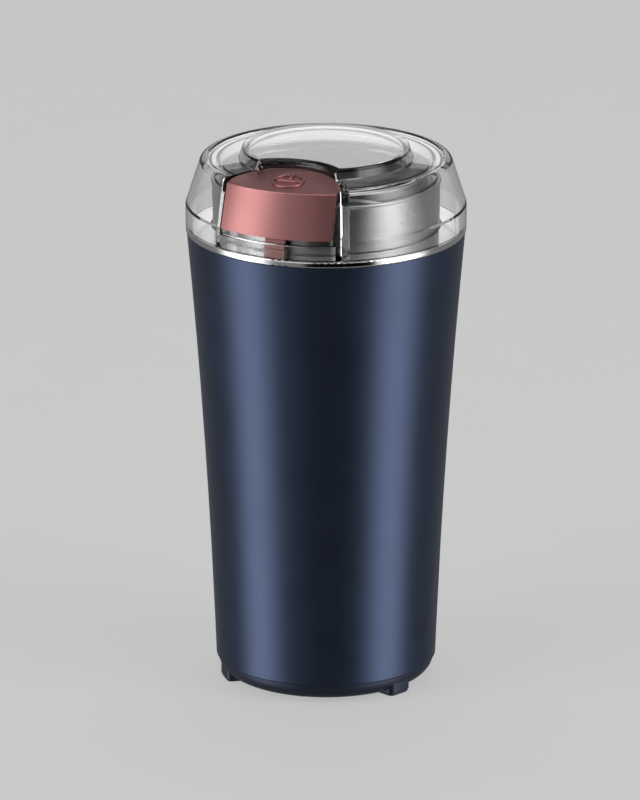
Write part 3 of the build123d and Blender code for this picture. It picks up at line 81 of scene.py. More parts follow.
# ---- Shader building -------------------------------------------------------------------------
class Bench:
    """Adds nodes to one tree and joins them."""

    def __init__(self, tree: bpy.types.NodeTree) -> None:
        """Start on an empty tree."""
        self.tree = tree
        self.tree.nodes.clear()

    def add(
        self, kind: str, inputs: dict[Any, Any] | None = None, **settings: Any
    ) -> bpy.types.Node:
        """Add a node.

        Args:
            kind: Blender's name for the node type.
            inputs: a plain value or an output socket for each input, by name or index.
            settings: the node's own properties.

        Returns:
            The new node.
        """
        made = self.tree.nodes.new(kind)
        made.location = (NODE_SPACING * len(self.tree.nodes), 0)
        for name, value in settings.items():
            setattr(made, name, value)
        for name, value in (inputs or {}).items():
            if isinstance(value, Socket):
                self.tree.links.new(value, made.inputs[name])
            else:
                made.inputs[name].default_value = value
        return made

    def group(self, tree: bpy.types.NodeTree, values: dict[str, Any]) -> bpy.types.Node:
        """Place a shader group with its own values."""
        return self.add("ShaderNodeGroup", values, node_tree=tree)

    def math(self, operation: str, first: Any, second: Any = 0.0) -> Socket:
        """Output of a Math node with two operands."""
        return self.add("ShaderNodeMath", {0: first, 1: second}, operation=operation).outputs[0]

    def split(self, vector: Socket) -> Sequence[Socket]:
        """The X, Y and Z of a vector."""
        return self.add("ShaderNodeSeparateXYZ", {0: vector}).outputs

    def level_product(self, first: Sequence[Socket], second: Sequence[Socket]) -> Socket:
        """The X and Y part of the dot product of two split vectors."""
        terms = [self.math("MULTIPLY", first[axis], second[axis]) for axis in (0, 1)]
        return self.math("ADD", *terms)

    def spread(
        self, value: Any, low: Any, high: Any, start: float = 0.0, end: float = 1.0
    ) -> Socket:
        """Output of a Map Range node that takes start..end to low..high."""
        ends = {"Value": value, "From Min": start, "From Max": end, "To Min": low, "To Max": high}
        return self.add("ShaderNodeMapRange", ends).outputs[0]

    def mix_vectors(self, share: Any, first: Socket, second: Socket) -> Socket:
        """Output of a mix of two vectors, which the Mix node takes at inputs 4 and 5."""
        ends = {0: share, 4: first, 5: second}
        return self.add("ShaderNodeMix", ends, data_type="VECTOR").outputs[1]

    def mix_colours(self, share: Any, first: Colour, second: Colour) -> Socket:
        """Output of a mix of two colours, which the Mix node takes at inputs 6 and 7."""
        ends = {0: share, 6: (*first, 1.0), 7: (*second, 1.0)}
        return self.add("ShaderNodeMix", ends, data_type="RGBA").outputs[2]

    def turn_normal(self, normal: Socket, source: str, target: str) -> Socket:
        """A normal taken from one space to another, either of them WORLD or OBJECT."""
        spaces = {"convert_from": source, "convert_to": target, "vector_type": "NORMAL"}
        return self.add("ShaderNodeVectorTransform", {0: normal}, **spaces).outputs[0]

    def place(self) -> Socket:
        """The surface point in the piece's own coordinates."""
        return self.add("ShaderNodeTexCoord").outputs["Object"]

    def show(self, shader: bpy.types.Node) -> None:
        """End a material's tree with its shader."""
        self.add("ShaderNodeOutputMaterial", {"Surface": shader.outputs[0]})


def new_finish(name: str) -> tuple[bpy.types.Material, Bench]:
    """Start a material.

    Args:
        name: what the finish is for.

    Returns:
        The empty material and the bench that fills its tree.
    """
    material = bpy.data.materials.new(name + "_finish")
    material.use_nodes = True
    return material, Bench(material.node_tree)


class Grain(Enum):
    """What the surface of a finish shows up close, by the name of its shader group."""

    MOULDED = "speckle"
    TURNED = "turned_lines"
    STACKED = "banded_layers"
    FLAKED = "metal_flake"

    @property
    def size_input(self) -> str:
        """Name of the group's input that sets how coarse the grain is."""
        return "Pitch" if self in (Grain.TURNED, Grain.STACKED) else "Scale"

    @property
    def height_output(self) -> str:
        """Name of the group's output that raises the surface."""
        return "Mask" if self is Grain.MOULDED else "Height"


class Effects:
    """Shader node groups that the finishes share."""

    SPECKLE_DETAIL: ClassVar[float] = 3.0
    SMUDGE_DETAIL: ClassVar[float] = 4.0
    SMUDGE_FINE_SHARE: ClassVar[float] = 0.6
    SMUDGE_CUT: ClassVar[tuple[float, float]] = (0.35, 0.7)
    TURNED_DETAIL: ClassVar[float] = 2.0
    TURNED_CUT: ClassVar[tuple[float, float]] = (0.3, 0.7)
    BANDED_CUT: ClassVar[tuple[float, float]] = (0.0, 0.5)
    # Cosine of the widest angle between a turned surface's normal and its radius, seen from above.
    LATHE_MATCH: ClassVar[float] = 0.985

    def __init__(self) -> None:
        """Build every group once."""
        relief = ("Height", "Mask")
        layers = {"Pitch": 0.0005, **dict(zip(ALONG, (0.0, 0.0, 1.0)))}
        grains = {
            Grain.MOULDED: ({"Scale": 400.0}, ("Mask",), self._speckle),
            Grain.TURNED: ({"Pitch": 0.0004}, relief, self._turned),
            Grain.STACKED: (layers, relief, self._banded),
            Grain.FLAKED: ({"Scale": 6000.0}, relief, self._flake),
        }
        self.grains = {grain: self._group(grain.value, *rest) for grain, rest in grains.items()}
        patches = {"Scale": 40.0, "Low": 0.2, "High": 0.4}
        self.smudge = self._group("smudge", patches, ("Roughness", "Mask"), self._smudge)
        self.lathe = self._group("lathe_normal", {"Facet": 0.0}, ("Normal",), self._lathe)

    @staticmethod
    def _group(
        name: str, inputs: dict[str, float], outputs: Sequence[str], fill: Fill
    ) -> bpy.types.NodeTree:
        """Make a group with named sockets.

        Args:
            name: the group's name.
            inputs: each input's name and default.
            outputs: the outputs' names.
            fill: builds the inner nodes and gives a socket for each output.

        Returns:
            The finished group.
        """
        tree = bpy.data.node_groups.new(name, "ShaderNodeTree")
        sockets = tree.interface
        for label, value in inputs.items():
            made = sockets.new_socket(name=label, in_out="INPUT", socket_type="NodeSocketFloat")
            made.default_value = value
        for label in outputs:
            kind = "NodeSocketVector" if label == "Normal" else "NodeSocketFloat"
            sockets.new_socket(name=label, in_out="OUTPUT", socket_type=kind)
        bench = Bench(tree)
        entry = bench.add("NodeGroupInput")
        results = fill(bench, {label: entry.outputs[label] for label in inputs})
        bench.add("NodeGroupOutput", results)
        return tree

    @staticmethod
    def _speckle(bench: Bench, given: Sockets) -> Sockets:
        """Even noise, the same in every direction.

        Args:
            bench: where the nodes go.
            given: the group's input Scale.

        Returns:
            The group's output Mask.
        """
        kind = {"Scale": given["Scale"], "Detail": Effects.SPECKLE_DETAIL}
        noise = bench.add("ShaderNodeTexNoise", {"Vector": bench.place(), **kind})
        return {"Mask": noise.outputs["Fac"]}

    @staticmethod
    def _smudge(bench: Bench, given: Sockets) -> Sockets:
        """Broad uneven patches, as handling leaves, with finer ones inside.

        Args:
            bench: where the nodes go.
            given: the group's inputs Scale, Low and High.

        Returns:
            The group's outputs Roughness, from Low to High, and Mask.
        """
        kind = {
            "Scale": given["Scale"],
            "Detail": Effects.SMUDGE_DETAIL,
            "Roughness": Effects.SMUDGE_FINE_SHARE,
        }
        noise = bench.add("ShaderNodeTexNoise", {"Vector": bench.place(), **kind})
        mask = bench.spread(noise.outputs["Fac"], 0.0, 1.0, *Effects.SMUDGE_CUT)
        return {"Roughness": bench.spread(mask, given["Low"], given["High"]), "Mask": mask}

    @staticmethod
    def _turned(bench: Bench, given: Sockets) -> Sockets:
        """Fine rings about the vertical axis, as a lathe or a spinning tool leaves.

        Args:
            bench: where the nodes go.
            given: the group's input Pitch, from ring to ring.

        Returns:
            The group's outputs Height and Mask.
        """
        spot = bench.split(bench.place())
        radius = bench.math("SQRT", bench.level_product(spot, spot))
        steps = [bench.math("DIVIDE", length, given["Pitch"]) for length in (radius, spot[2])]
        both = bench.add("ShaderNodeCombineXYZ", {0: steps[0], 2: steps[1]})
        kind = {"Scale": 1.0, "Detail": Effects.TURNED_DETAIL}
        height = bench.add("ShaderNodeTexNoise", {"Vector": both.outputs[0], **kind}).outputs["Fac"]
        return {"Height": height, "Mask": bench.spread(height, 0.0, 1.0, *Effects.TURNED_CUT)}

    @staticmethod
    def _banded(bench: Bench, given: Sockets) -> Sockets:
        """Equal layers side by side along one direction: stacked sheet or laid wire.

        Args:
            bench: where the nodes go.
            given: the group's inputs Pitch and the direction's Along X, Y and Z.

        Returns:
            The group's outputs Height and Mask.
        """
        spot = bench.split(bench.place())
        terms = [bench.math("MULTIPLY", spot[axis], given[ALONG[axis]]) for axis in range(3)]
        along = bench.math("ADD", bench.math("ADD", terms[0], terms[1]), terms[2])
        turns = bench.math("DIVIDE", along, given["Pitch"])
        wave = bench.math("SINE", bench.math("MULTIPLY", turns, 2 * math.pi))
        height = bench.math("ABSOLUTE", wave)
        return {"Height": height, "Mask": bench.spread(height, 0.0, 1.0, *Effects.BANDED_CUT)}

    @staticmethod
    def _flake(bench: Bench, given: Sockets) -> Sockets:
        """Tiny flat flakes, each with its own brightness.

        Args:
            bench: where the nodes go.
            given: the group's input Scale.

        Returns:
            The group's outputs Height and Mask.
        """
        place = {"Vector": bench.place(), "Scale": given["Scale"]}
        cells = bench.add("ShaderNodeTexVoronoi", place)
        split = bench.add("ShaderNodeSeparateColor", {0: cells.outputs["Color"]})
        return {"Mask": split.outputs[0], "Height": split.outputs[1]}

    @staticmethod
    def _lathe(bench: Bench, given: Sockets) -> Sockets:
        """Normals that run evenly round the vertical axis wherever the surface is turned about it.

        There a normal keeps its slope and takes its heading from the radius. Elsewhere it stays
        as it is.

        Args:
            bench: where the nodes go.
            given: the group's input Facet, the share of the slope that comes from the facets
                rather than from the mesh's smooth normals.

        Returns:
            The group's output Normal.
        """
        spot = bench.split(bench.place())
        surface = bench.add("ShaderNodeNewGeometry").outputs
        mixed = bench.mix_vectors(given["Facet"], surface["Normal"], surface["True Normal"])
        found = bench.turn_normal(mixed, "WORLD", "OBJECT")
        lean = bench.split(found)
        radius = bench.math("SQRT", bench.level_product(spot, spot))
        level = bench.math("SQRT", bench.level_product(lean, lean))
        reach = bench.math("MULTIPLY", radius, level)
        match = bench.math("DIVIDE", bench.level_product(spot, lean), reach)
        outward = bench.math("MULTIPLY", level, bench.math("SIGN", match))
        length = bench.math("DIVIDE", outward, radius)
        parts = {axis: bench.math("MULTIPLY", spot[axis], length) for axis in (0, 1)}
        even = bench.add("ShaderNodeCombineXYZ", {**parts, 2: lean[2]}).outputs[0]
        turned = bench.math("GREATER_THAN", bench.math("ABSOLUTE", match), Effects.LATHE_MATCH)
        both = bench.mix_vectors(turned, found, even)
        return {"Normal": bench.turn_normal(both, "OBJECT", "WORLD")}


@dataclass(frozen=True)
class Finish:
    """An opaque finish: colour, shine and the fine relief of its surface.

    lathe is set where the piece is turned about the vertical axis: it is the share of the
    facets' own slope in the even normal. Without it the mesh's normals are used.
    """

    slot: str
    colour: Colour
    shade: Colour
    roughness: tuple[float, float]
    metallic: float = 0.0
    grain: Grain = Grain.MOULDED
    grain_size: float = 400.0
    relief: float = 0.00002
    relief_strength: float = 0.3
    coat: float = 0.0
    coat_roughness: float = 0.08
    smudge_scale: float = 60.0
    least_shade: float = 0.6
    along: Point = (0.0, 0.0, 1.0)
    lathe: float | None = None

    def build(self, effects: Effects) -> bpy.types.Material:
        """Make the Blender material.

        Args:
            effects: the shared shader groups.

        Returns:
            The material, named as its slot.
        """
        material, bench = new_finish(self.slot)
        grain = self._grain_node(bench, effects)
        low, high = self.roughness
        smudge = bench.group(effects.smudge, {"Scale": self.smudge_scale, "Low": low, "High": high})
        relief = {
            "Strength": self.relief_strength,
            "Distance": self.relief,
            "Height": grain.outputs[self.grain.height_output],
        }
        if self.lathe is not None:
            relief["Normal"] = bench.group(effects.lathe, {"Facet": self.lathe}).outputs["Normal"]
        bump = bench.add("ShaderNodeBump", relief)
        patches = bench.spread(smudge.outputs["Mask"], self.least_shade, 1.0)
        share = bench.math("MULTIPLY", grain.outputs["Mask"], patches)
        surface = bench.add(
            "ShaderNodeBsdfPrincipled",
            {
                "Base Color": bench.mix_colours(share, self.colour, self.shade),
                "Metallic": self.metallic,
                "Roughness": smudge.outputs["Roughness"],
                "Coat Weight": self.coat,
                "Coat Roughness": self.coat_roughness,
                "Normal": bump.outputs[0],
            },
        )
        bench.show(surface)
        return material

    def _grain_node(self, bench: Bench, effects: Effects) -> bpy.types.Node:
        """Place the group that makes this finish's grain.

        Args:
            bench: where the node goes.
            effects: the shared shader groups.

        Returns:
            The group's node.
        """
        values = {self.grain.size_input: self.grain_size}
        if self.grain is Grain.STACKED:
            values.update(zip(ALONG, self.along))
        return bench.group(effects.grains[self.grain], values)


@dataclass(frozen=True)
class ClearFinish:
    """Clear moulded acrylic with faint flow marks and handling haze."""

    slot: str = "clear_acrylic"
    tint: Colour = (0.985, 0.985, 0.985)
    haze_tint: Colour = (0.955, 0.955, 0.955)
    haze: float = 0.25
    index: float = 1.49
    roughness: tuple[float, float] = (0.0, 0.01)
    smudge_scale: float = 90.0
    flow_scale: float = 70.0
    flow_depth: float = 0.0002
    flow_strength: float = 0.05

    def build(self, effects: Effects) -> bpy.types.Material:
        """Make the clear material.

        Args:
            effects: the shared shader groups.

        Returns:
            The material, named as its slot.
        """
        material, bench = new_finish(self.slot)
        low, high = self.roughness
        smudge = bench.group(effects.smudge, {"Scale": self.smudge_scale, "Low": low, "High": high})
        flow = bench.group(effects.grains[Grain.MOULDED], {"Scale": self.flow_scale})
        relief = {
            "Strength": self.flow_strength,
            "Distance": self.flow_depth,
            "Height": flow.outputs["Mask"],
        }
        bump = bench.add("ShaderNodeBump", relief)
        haze = bench.math("MULTIPLY", smudge.outputs["Mask"], self.haze)
        surface = bench.add(
            "ShaderNodeBsdfPrincipled",
            {
                "Base Color": bench.mix_colours(haze, self.tint, self.haze_tint),
                "Metallic": 0.0,
                "Roughness": smudge.outputs["Roughness"],
                "IOR": self.index,
                "Transmission Weight": 1.0,
                "Normal": bump.outputs[0],
            },
        )
        bench.show(surface)
        return material


# Each row gives the record's slot, the colour, its darker or lighter patches and the roughness.
FINISHES: tuple[Finish | ClearFinish, ...] = (
    Finish(
        "body_paint", (0.05, 0.07, 0.124), (0.06, 0.082, 0.142), (0.32, 0.36), metallic=0.85,
        grain=Grain.FLAKED, grain_size=9000.0, relief=0.00001, relief_strength=0.05, lathe=0.0,
    ),
    Finish(
        "base_plastic", (0.03, 0.04, 0.075), (0.036, 0.048, 0.088), (0.38, 0.46), metallic=0.4,
        relief=0.00003, lathe=0.0,
    ),
    Finish("pad_rubber", (0.03, 0.042, 0.078), (0.022, 0.03, 0.055), (0.55, 0.7), grain_size=900.0),
    Finish("zinc_steel", (0.62, 0.62, 0.6), (0.5, 0.5, 0.47), (0.25, 0.42), metallic=1.0),
    Finish(
        "gland_rubber", (0.022, 0.026, 0.034), (0.03, 0.034, 0.042), (0.5, 0.7), grain_size=900.0
    ),
    Finish("capacitor_film", (0.62, 0.42, 0.05), (0.55, 0.36, 0.04), (0.2, 0.32), coat=0.3),
    Finish("inner_plastic", (0.045, 0.046, 0.05), (0.055, 0.056, 0.06), (0.45, 0.6)),
    Finish(
        "cup_steel", (0.35, 0.35, 0.346), (0.3, 0.3, 0.296), (0.27, 0.33), metallic=1.0,
        grain=Grain.TURNED, grain_size=0.00035, relief=0.000012, relief_strength=0.35, lathe=0.0,
    ),
    Finish("silicone", (0.62, 0.62, 0.6), (0.54, 0.54, 0.52), (0.4, 0.55), grain_size=700.0),
    Finish(
        "ring_chrome", (0.86, 0.86, 0.87), (0.8, 0.8, 0.81), (0.11, 0.16), metallic=1.0,
        grain=Grain.TURNED, grain_size=0.0006, relief=0.000004, relief_strength=0.15, lathe=1.0,
    ),
    Finish(
        "seal_rubber", (0.04, 0.04, 0.042), (0.055, 0.055, 0.056), (0.5, 0.68), grain_size=900.0
    ),
    Finish(
        "lamination", (0.36, 0.37, 0.39), (0.2, 0.2, 0.21), (0.35, 0.5), metallic=0.9,
        grain=Grain.STACKED, grain_size=0.001, relief=0.00008, relief_strength=0.6,
    ),
    Finish(
        "copper_wire", (0.62, 0.24, 0.09), (0.4, 0.13, 0.05), (0.22, 0.34), metallic=0.85,
        grain=Grain.STACKED, grain_size=0.0012, relief=0.0002, relief_strength=0.8, coat=0.5,
    ),
    Finish(
        "copper_bar", (0.75, 0.42, 0.26), (0.62, 0.33, 0.2), (0.2, 0.34), metallic=1.0,
        grain=Grain.TURNED, grain_size=0.0003,
    ),
    Finish("bracket_plastic", (0.07, 0.07, 0.07), (0.085, 0.083, 0.08), (0.45, 0.62)),
    Finish(
        "bronze", (0.55, 0.38, 0.19), (0.44, 0.3, 0.15), (0.35, 0.5), metallic=1.0,
        grain_size=2500.0,
    ),
    Finish("brass_plate", (0.76, 0.58, 0.26), (0.66, 0.5, 0.22), (0.22, 0.36), metallic=1.0),
    Finish("carbon", (0.035, 0.035, 0.036), (0.05, 0.05, 0.05), (0.45, 0.6), grain_size=2500.0),
    Finish("spring_steel", (0.58, 0.58, 0.58), (0.5, 0.5, 0.5), (0.2, 0.32), metallic=1.0),
    Finish("switch_plastic", (0.05, 0.05, 0.052), (0.062, 0.062, 0.064), (0.4, 0.55)),
    Finish(
        "shaft_steel", (0.6, 0.6, 0.6), (0.52, 0.52, 0.52), (0.18, 0.3), metallic=1.0,
        grain=Grain.TURNED, grain_size=0.0003, relief=0.00001,
    ),
    Finish(
        "blade_steel", (0.66, 0.66, 0.66), (0.56, 0.56, 0.56), (0.18, 0.3), metallic=1.0,
        grain=Grain.STACKED, grain_size=0.0004, relief=0.000006, relief_strength=0.4,
        along=(0.7, 0.7, 0.0),
    ),
    Finish("fan_plastic", (0.09, 0.09, 0.09), (0.11, 0.11, 0.11), (0.4, 0.55)),
    ClearFinish(),
    Finish(
        "rose_gold", (0.42, 0.185, 0.18), (0.385, 0.168, 0.164), (0.3, 0.35), metallic=0.85,
        grain=Grain.FLAKED, grain_size=9000.0, relief=0.000008, relief_strength=0.05,
    ),
    Finish("plunger_plastic", (0.5, 0.26, 0.23), (0.45, 0.23, 0.2), (0.28, 0.36), metallic=0.5),
)


# ---- Mesh building ---------------------------------------------------------------------------
def mesh_object(
    name: str,
    points: Sequence[Vector | Point],
    faces: Sequence[Sequence[int]],
    smooth: bool = True,
) -> bpy.types.Object:
    """Make an object from points and faces.

    Args:
        name: the piece's name.
        points: vertex places.
        faces: vertex numbers of each face.
        smooth: whether the faces shade smoothly.

    Returns:
        The object, in the scene.
    """
    mesh = bpy.data.meshes.new(name)
    mesh.from_pydata([tuple(p) for p in points], [], [tuple(f) for f in faces])
    work = bmesh.new()
    work.from_mesh(mesh)
    bmesh.ops.recalc_face_normals(work, faces=work.faces)
    work.to_mesh(mesh)
    work.free()
    mesh.polygons.foreach_set("use_smooth", [smooth] * len(mesh.polygons))
    made = bpy.data.objects.new(name, mesh)
    bpy.context.scene.collection.objects.link(made)
    return made


def sheet(name: str, width: float, height: float) -> bpy.types.Object:
    """Make a flat rectangle round its own origin, in its own XY plane.

    Args:
        name: the piece's name.
        width: along X.
        height: along Y.

    Returns:
        The object, in the scene.
    """
    x, y = width / 2, height / 2
    points = [(-x, -y, 0.0), (x, -y, 0.0), (x, y, 0.0), (-x, y, 0.0)]
    return mesh_object(name, points, [(0, 1, 2, 3)], smooth=False)


def tubes(name: str, runs: Iterable[Sequence[Sequence[Vector]]]) -> bpy.types.Object:
    """Make one object of closed tubes.

    Args:
        name: the piece's name.
        runs: for each tube its rings of points, from one end to the other.

    Returns:
        The object, in the scene.
    """
    points: list[Vector] = []
    faces: list[list[int]] = []
    for rings in runs:
        start, sides = len(points), len(rings[0])
        last = start + (len(rings) - 1) * sides
        for first in range(start, last, sides):
            second = first + sides
            for side in range(sides):
                after = (side + 1) % sides
                faces.append([first + side, first + after, second + after, second + side])
        faces += [list(range(start, start + sides)), list(range(last, last + sides))]
        points += [point for ring in rings for point in ring]
    return mesh_object(name, points, faces)


@dataclass(frozen=True)
class Stroke:
    """A raised line on a surface, with a rounded top and closed ends."""

    # Across as a share of the width and up as a share of the height; below 0 is sunk.
    PROFILE: ClassVar[Track] = (
        (-0.5, -1.0), (-0.5, 0.55), (-0.36, 0.88), (0.0, 1.0), (0.36, 0.88), (0.5, 0.55),
        (0.5, -1.0),
    )

    path: Track
    width: float
    height: float
    sunk: float = 0.15 * MM

    def rings(self, surface: Callable[[float, float], float]) -> list[list[Vector]]:
        """Lay the stroke on a surface.

        Args:
            surface: gives the height of the surface at x and y.

        Returns:
            A ring of points across the stroke at each place of its path.
        """
        rings = []
        last = len(self.path) - 1
        for index, (x, y) in enumerate(self.path):
            ahead = self.path[min(index + 1, last)]
            behind = self.path[max(index - 1, 0)]
            run = Vector((ahead[0] - behind[0], ahead[1] - behind[1])).normalized()
            ring = []
            for across, up in self.PROFILE:
                px = x - run.y * across * self.width
                py = y + run.x * across * self.width
                rise = self.height * up if up > 0 else -self.sunk
                ring.append(Vector((px, py, surface(px, py) + rise)))
            rings.append(ring)
        return rings


# ---- Sub-assemblies --------------------------------------------------------------------------
@dataclass
class Assembly:
    """Nodes that belong together, and the finishes that they wear."""

    finishes: dict[str, bpy.types.Material]
    nodes: tuple[str, ...] = ()

    def dress(self) -> None:
        """Give each node the finish of its slot in the record."""
        slots = {part["node"]: part["material_slot"] for part in frame["record"]["subparts"]}
        for name in self.nodes:
            node = frame["nodes"][name]
            node.data.materials.clear()
            node.data.materials.append(self.finishes[slots[name]])
            LOG.info("%s wears %s", name, slots[name])

    def place(self, piece: bpy.types.Object, body: str, slot: str) -> bpy.types.Object:
        """Finish a new piece and let it ride on a body.

        Args:
            piece: the new object.
            body: the CAD body that carries it.
            slot: the record's material slot.

        Returns:
            The piece.
        """
        piece.data.materials.append(self.finishes[slot])
        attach(piece, body)
        LOG.info("%s rides on %s", piece.name, body)
        return piece


@dataclass
class Housing(Assembly):
    """Painted casing, its cover, feet, gland and the carrier inside."""

    nodes: tuple[str, ...] = (
        "outer_casing", "base_cover", "foot_pads", "base_screws", "cord_gland",
        "suppressor_capacitor", "inner_frame", "frame_screws",
    )


@dataclass
class Cup(Assembly):
    """Steel cup with its ring, seals and cushions."""

    nodes: tuple[str, ...] = ("grinding_cup", "cup_gasket", "cup_pad", "chrome_ring", "shaft_seal")


@dataclass
class Motor(Assembly):
    """Motor under the cup."""

    nodes: tuple[str, ...] = (
        "stator_core", "field_coils", "upper_bracket", "lower_bracket", "upper_bush",
        "lower_bush", "motor_bolts", "motor_mount_screws", "motor_grommets", "brush_holders",
        "carbon_brushes", "brush_springs", "motor_shaft", "armature_core", "armature_winding",
        "commutator", "cooling_fan",
    )


@dataclass
class Blades(Assembly):
    """Crossed blades on the shaft."""

    nodes: tuple[str, ...] = ("blade_hub", "lower_blade", "upper_blade", "blade_nut")


@dataclass
class Switchgear(Assembly):
    """Lever switch and the plunger over it."""

    nodes: tuple[str, ...] = (
        "switch_plunger", "microswitch", "switch_terminals", "switch_screws", "switch_lever",
        "switch_pin",
    )


@dataclass
class ClearLid(Assembly):
    """Clear lid and the springs in its well, which are wound at one fixed length."""

    nodes: tuple[str, ...] = ("lid", "button_springs")
    wire: float = 0.5 * MM
    turns: int = 6
    closed_turns: int = 2
    steps: int = 20
    sides: int = 8

    def build(self) -> bpy.types.Object:
        """Wind the two round-wire springs between the lid's well and the button.

        Returns:
            The piece with both springs.
        """
        low, high = (Vector(corner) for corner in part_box("button_springs"))
        middle = (low + high) / 2
        reach = (high.y - low.y) / 2
        radius, length = reach - self.wire / 2, high.z - low.z
        bases = [Vector((x, middle.y, low.z)) for x in (low.x + reach, high.x - reach)]
        runs = [self._coil(base, radius, length) for base in bases]
        coils = tubes("button_spring_coils", runs)
        coils.data.materials.append(self.finishes["spring_steel"])
        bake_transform(coils)
        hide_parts("button_springs")
        LOG.info("%s bends between lid and button", coils.name)
        return coils

    def _coil(self, base: Vector, radius: float, length: float) -> list[list[Vector]]:
        """Rings of points round the wire of one coil, which has a closed turn at each end.

        Args:
            base: the middle of the lower end.
            radius: from the coil's axis to the wire's.
            length: the coil's height.

        Returns:
            One ring of points for each step along the wire.
        """
        rings = []
        thick = self.wire / 2
        free = length - (self.closed_turns + 1) * self.wire
        slope = free / (self.turns - self.closed_turns)
        for step in range(self.turns * self.steps + 1):
            turn = step / self.steps
            closed = min(turn, 1.0) + max(turn - self.turns + 1, 0.0)
            level = thick + self.wire * closed + slope * (turn - closed)
            angle = 2 * math.pi * turn
            out = Vector((math.cos(angle), math.sin(angle), 0.0))
            ring = []
            for side in range(self.sides):
                around = 2 * math.pi * side / self.sides
                rise = Vector((0.0, 0.0, level + thick * math.sin(around)))
                ring.append(base + out * (radius + thick * math.cos(around)) + rise)
            rings.append(ring)
        return rings


@dataclass
class PressButton(Assembly):
    """Rose-gold button with a raised on-mark.

    The crowned top runs from edge_height at edge_radius up by crown at the axis. The stem and
    the bar of the mark are shares of the ring's radius, and its gap is in degrees.
    """

    nodes: tuple[str, ...] = ("press_button",)
    edge_radius: float = 43.14 * MM
    edge_height: float = 184.4 * MM
    crown: float = 2.7 * MM
    mark_centre: tuple[float, float] = (0.2 * MM, -33.4 * MM)
    mark_radius: float = 5.3 * MM
    mark_width: float = 0.85 * MM
    mark_height: float = 0.55 * MM
    mark_gap: float = 30.0
    mark_steps: int = 55
    mark_stem: tuple[float, ...] = (1.1, 0.8, 0.5, 0.2)
    mark_bar: tuple[float, ...] = (-1.0, -0.5, 0.0, 0.5, 1.0)

    def surface(self, x: float, y: float) -> float:
        """Height of the crowned top at a place."""
        share = math.hypot(x, y) / self.edge_radius
        return self.edge_height + self.crown * (1 - share * share)

    def _ring(self) -> Track:
        """The mark's ring, from one side of the gap at its back round to the other.

        Returns:
            Points along the ring.
        """
        x, y = self.mark_centre
        start, sweep = 90 + self.mark_gap / 2, 360 - self.mark_gap
        shares = [step / self.mark_steps for step in range(self.mark_steps + 1)]
        angles = [math.radians(start + sweep * share) for share in shares]
        reach = self.mark_radius
        return tuple((x + reach * math.cos(turn), y + reach * math.sin(turn)) for turn in angles)

    def build(self) -> bpy.types.Object:
        """Raise the on-mark: an open ring, a stem in its gap and a bar across it.

        Returns:
            The piece with all three.
        """
        x, y = self.mark_centre
        stem = tuple((x, y + self.mark_radius * share) for share in self.mark_stem)
        reach = self.mark_radius - self.mark_width / 2
        bar = tuple((x + reach * share, y) for share in self.mark_bar)
        size = (self.mark_width, self.mark_height)
        runs = [Stroke(path, *size).rings(self.surface) for path in (self._ring(), stem, bar)]
        mark = tubes("button_mark", runs)
        return self.place(mark, "button", "rose_gold")


# ---- Studio ----------------------------------------------------------------------------------
def heading(azimuth: float, elevation: float) -> Vector:
    """Unit direction from the object at an azimuth from the front and an elevation, in degrees."""
    turn, rise = math.radians(azimuth), math.radians(elevation)
    level = math.cos(rise)
    return Vector((math.sin(turn) * level, -math.cos(turn) * level, math.sin(rise)))


def stand(piece: bpy.types.Object, aim: Vector, away: Vector, distance: float) -> None:
    """Put a piece of the studio where it faces a point.

    Args:
        piece: a lamp, card or camera, which looks along its own -Z.
        aim: the point.
        away: unit direction from the point to the piece.
        distance: from the point to the piece.
    """
    piece.location = aim + away * distance
    piece.rotation_mode = "QUATERNION"
    piece.rotation_quaternion = away.to_track_quat("Z", "Y")


class Bounce(Enum):
    """What a ray has met on its way, by the count that Light Path keeps of it."""

    MIRROR = "Glossy Depth"
    GLASS = "Transmission Depth"

    def met(self, bench: Bench) -> Socket:
        """One for a ray that has met it at least once, and zero for any other."""
        count = bench.add("ShaderNodeLightPath").outputs[self.value]
        return bench.math("GREATER_THAN", count, 0.5)


@dataclass(frozen=True)
class Panel:
    """A rectangle that faces the object from a direction in degrees."""

    name: str
    azimuth: float
    elevation: float
    distance: float
    width: float
    height: float
    strength: float


@dataclass(frozen=True)
class Softbox(Panel):
    """A rectangular lamp."""

    def build(self, aim: Vector) -> None:
        """Hang the lamp and turn it to the point.

        Args:
            aim: where it points.
        """
        lamp = bpy.data.lights.new(self.name, "AREA")
        lamp.shape = "RECTANGLE"
        lamp.size = self.width
        lamp.size_y = self.height
        lamp.energy = self.strength * self.width * self.height * math.pi
        made = bpy.data.objects.new(self.name, lamp)
        bpy.context.scene.collection.objects.link(made)
        stand(made, aim, heading(self.azimuth, self.elevation), self.distance)


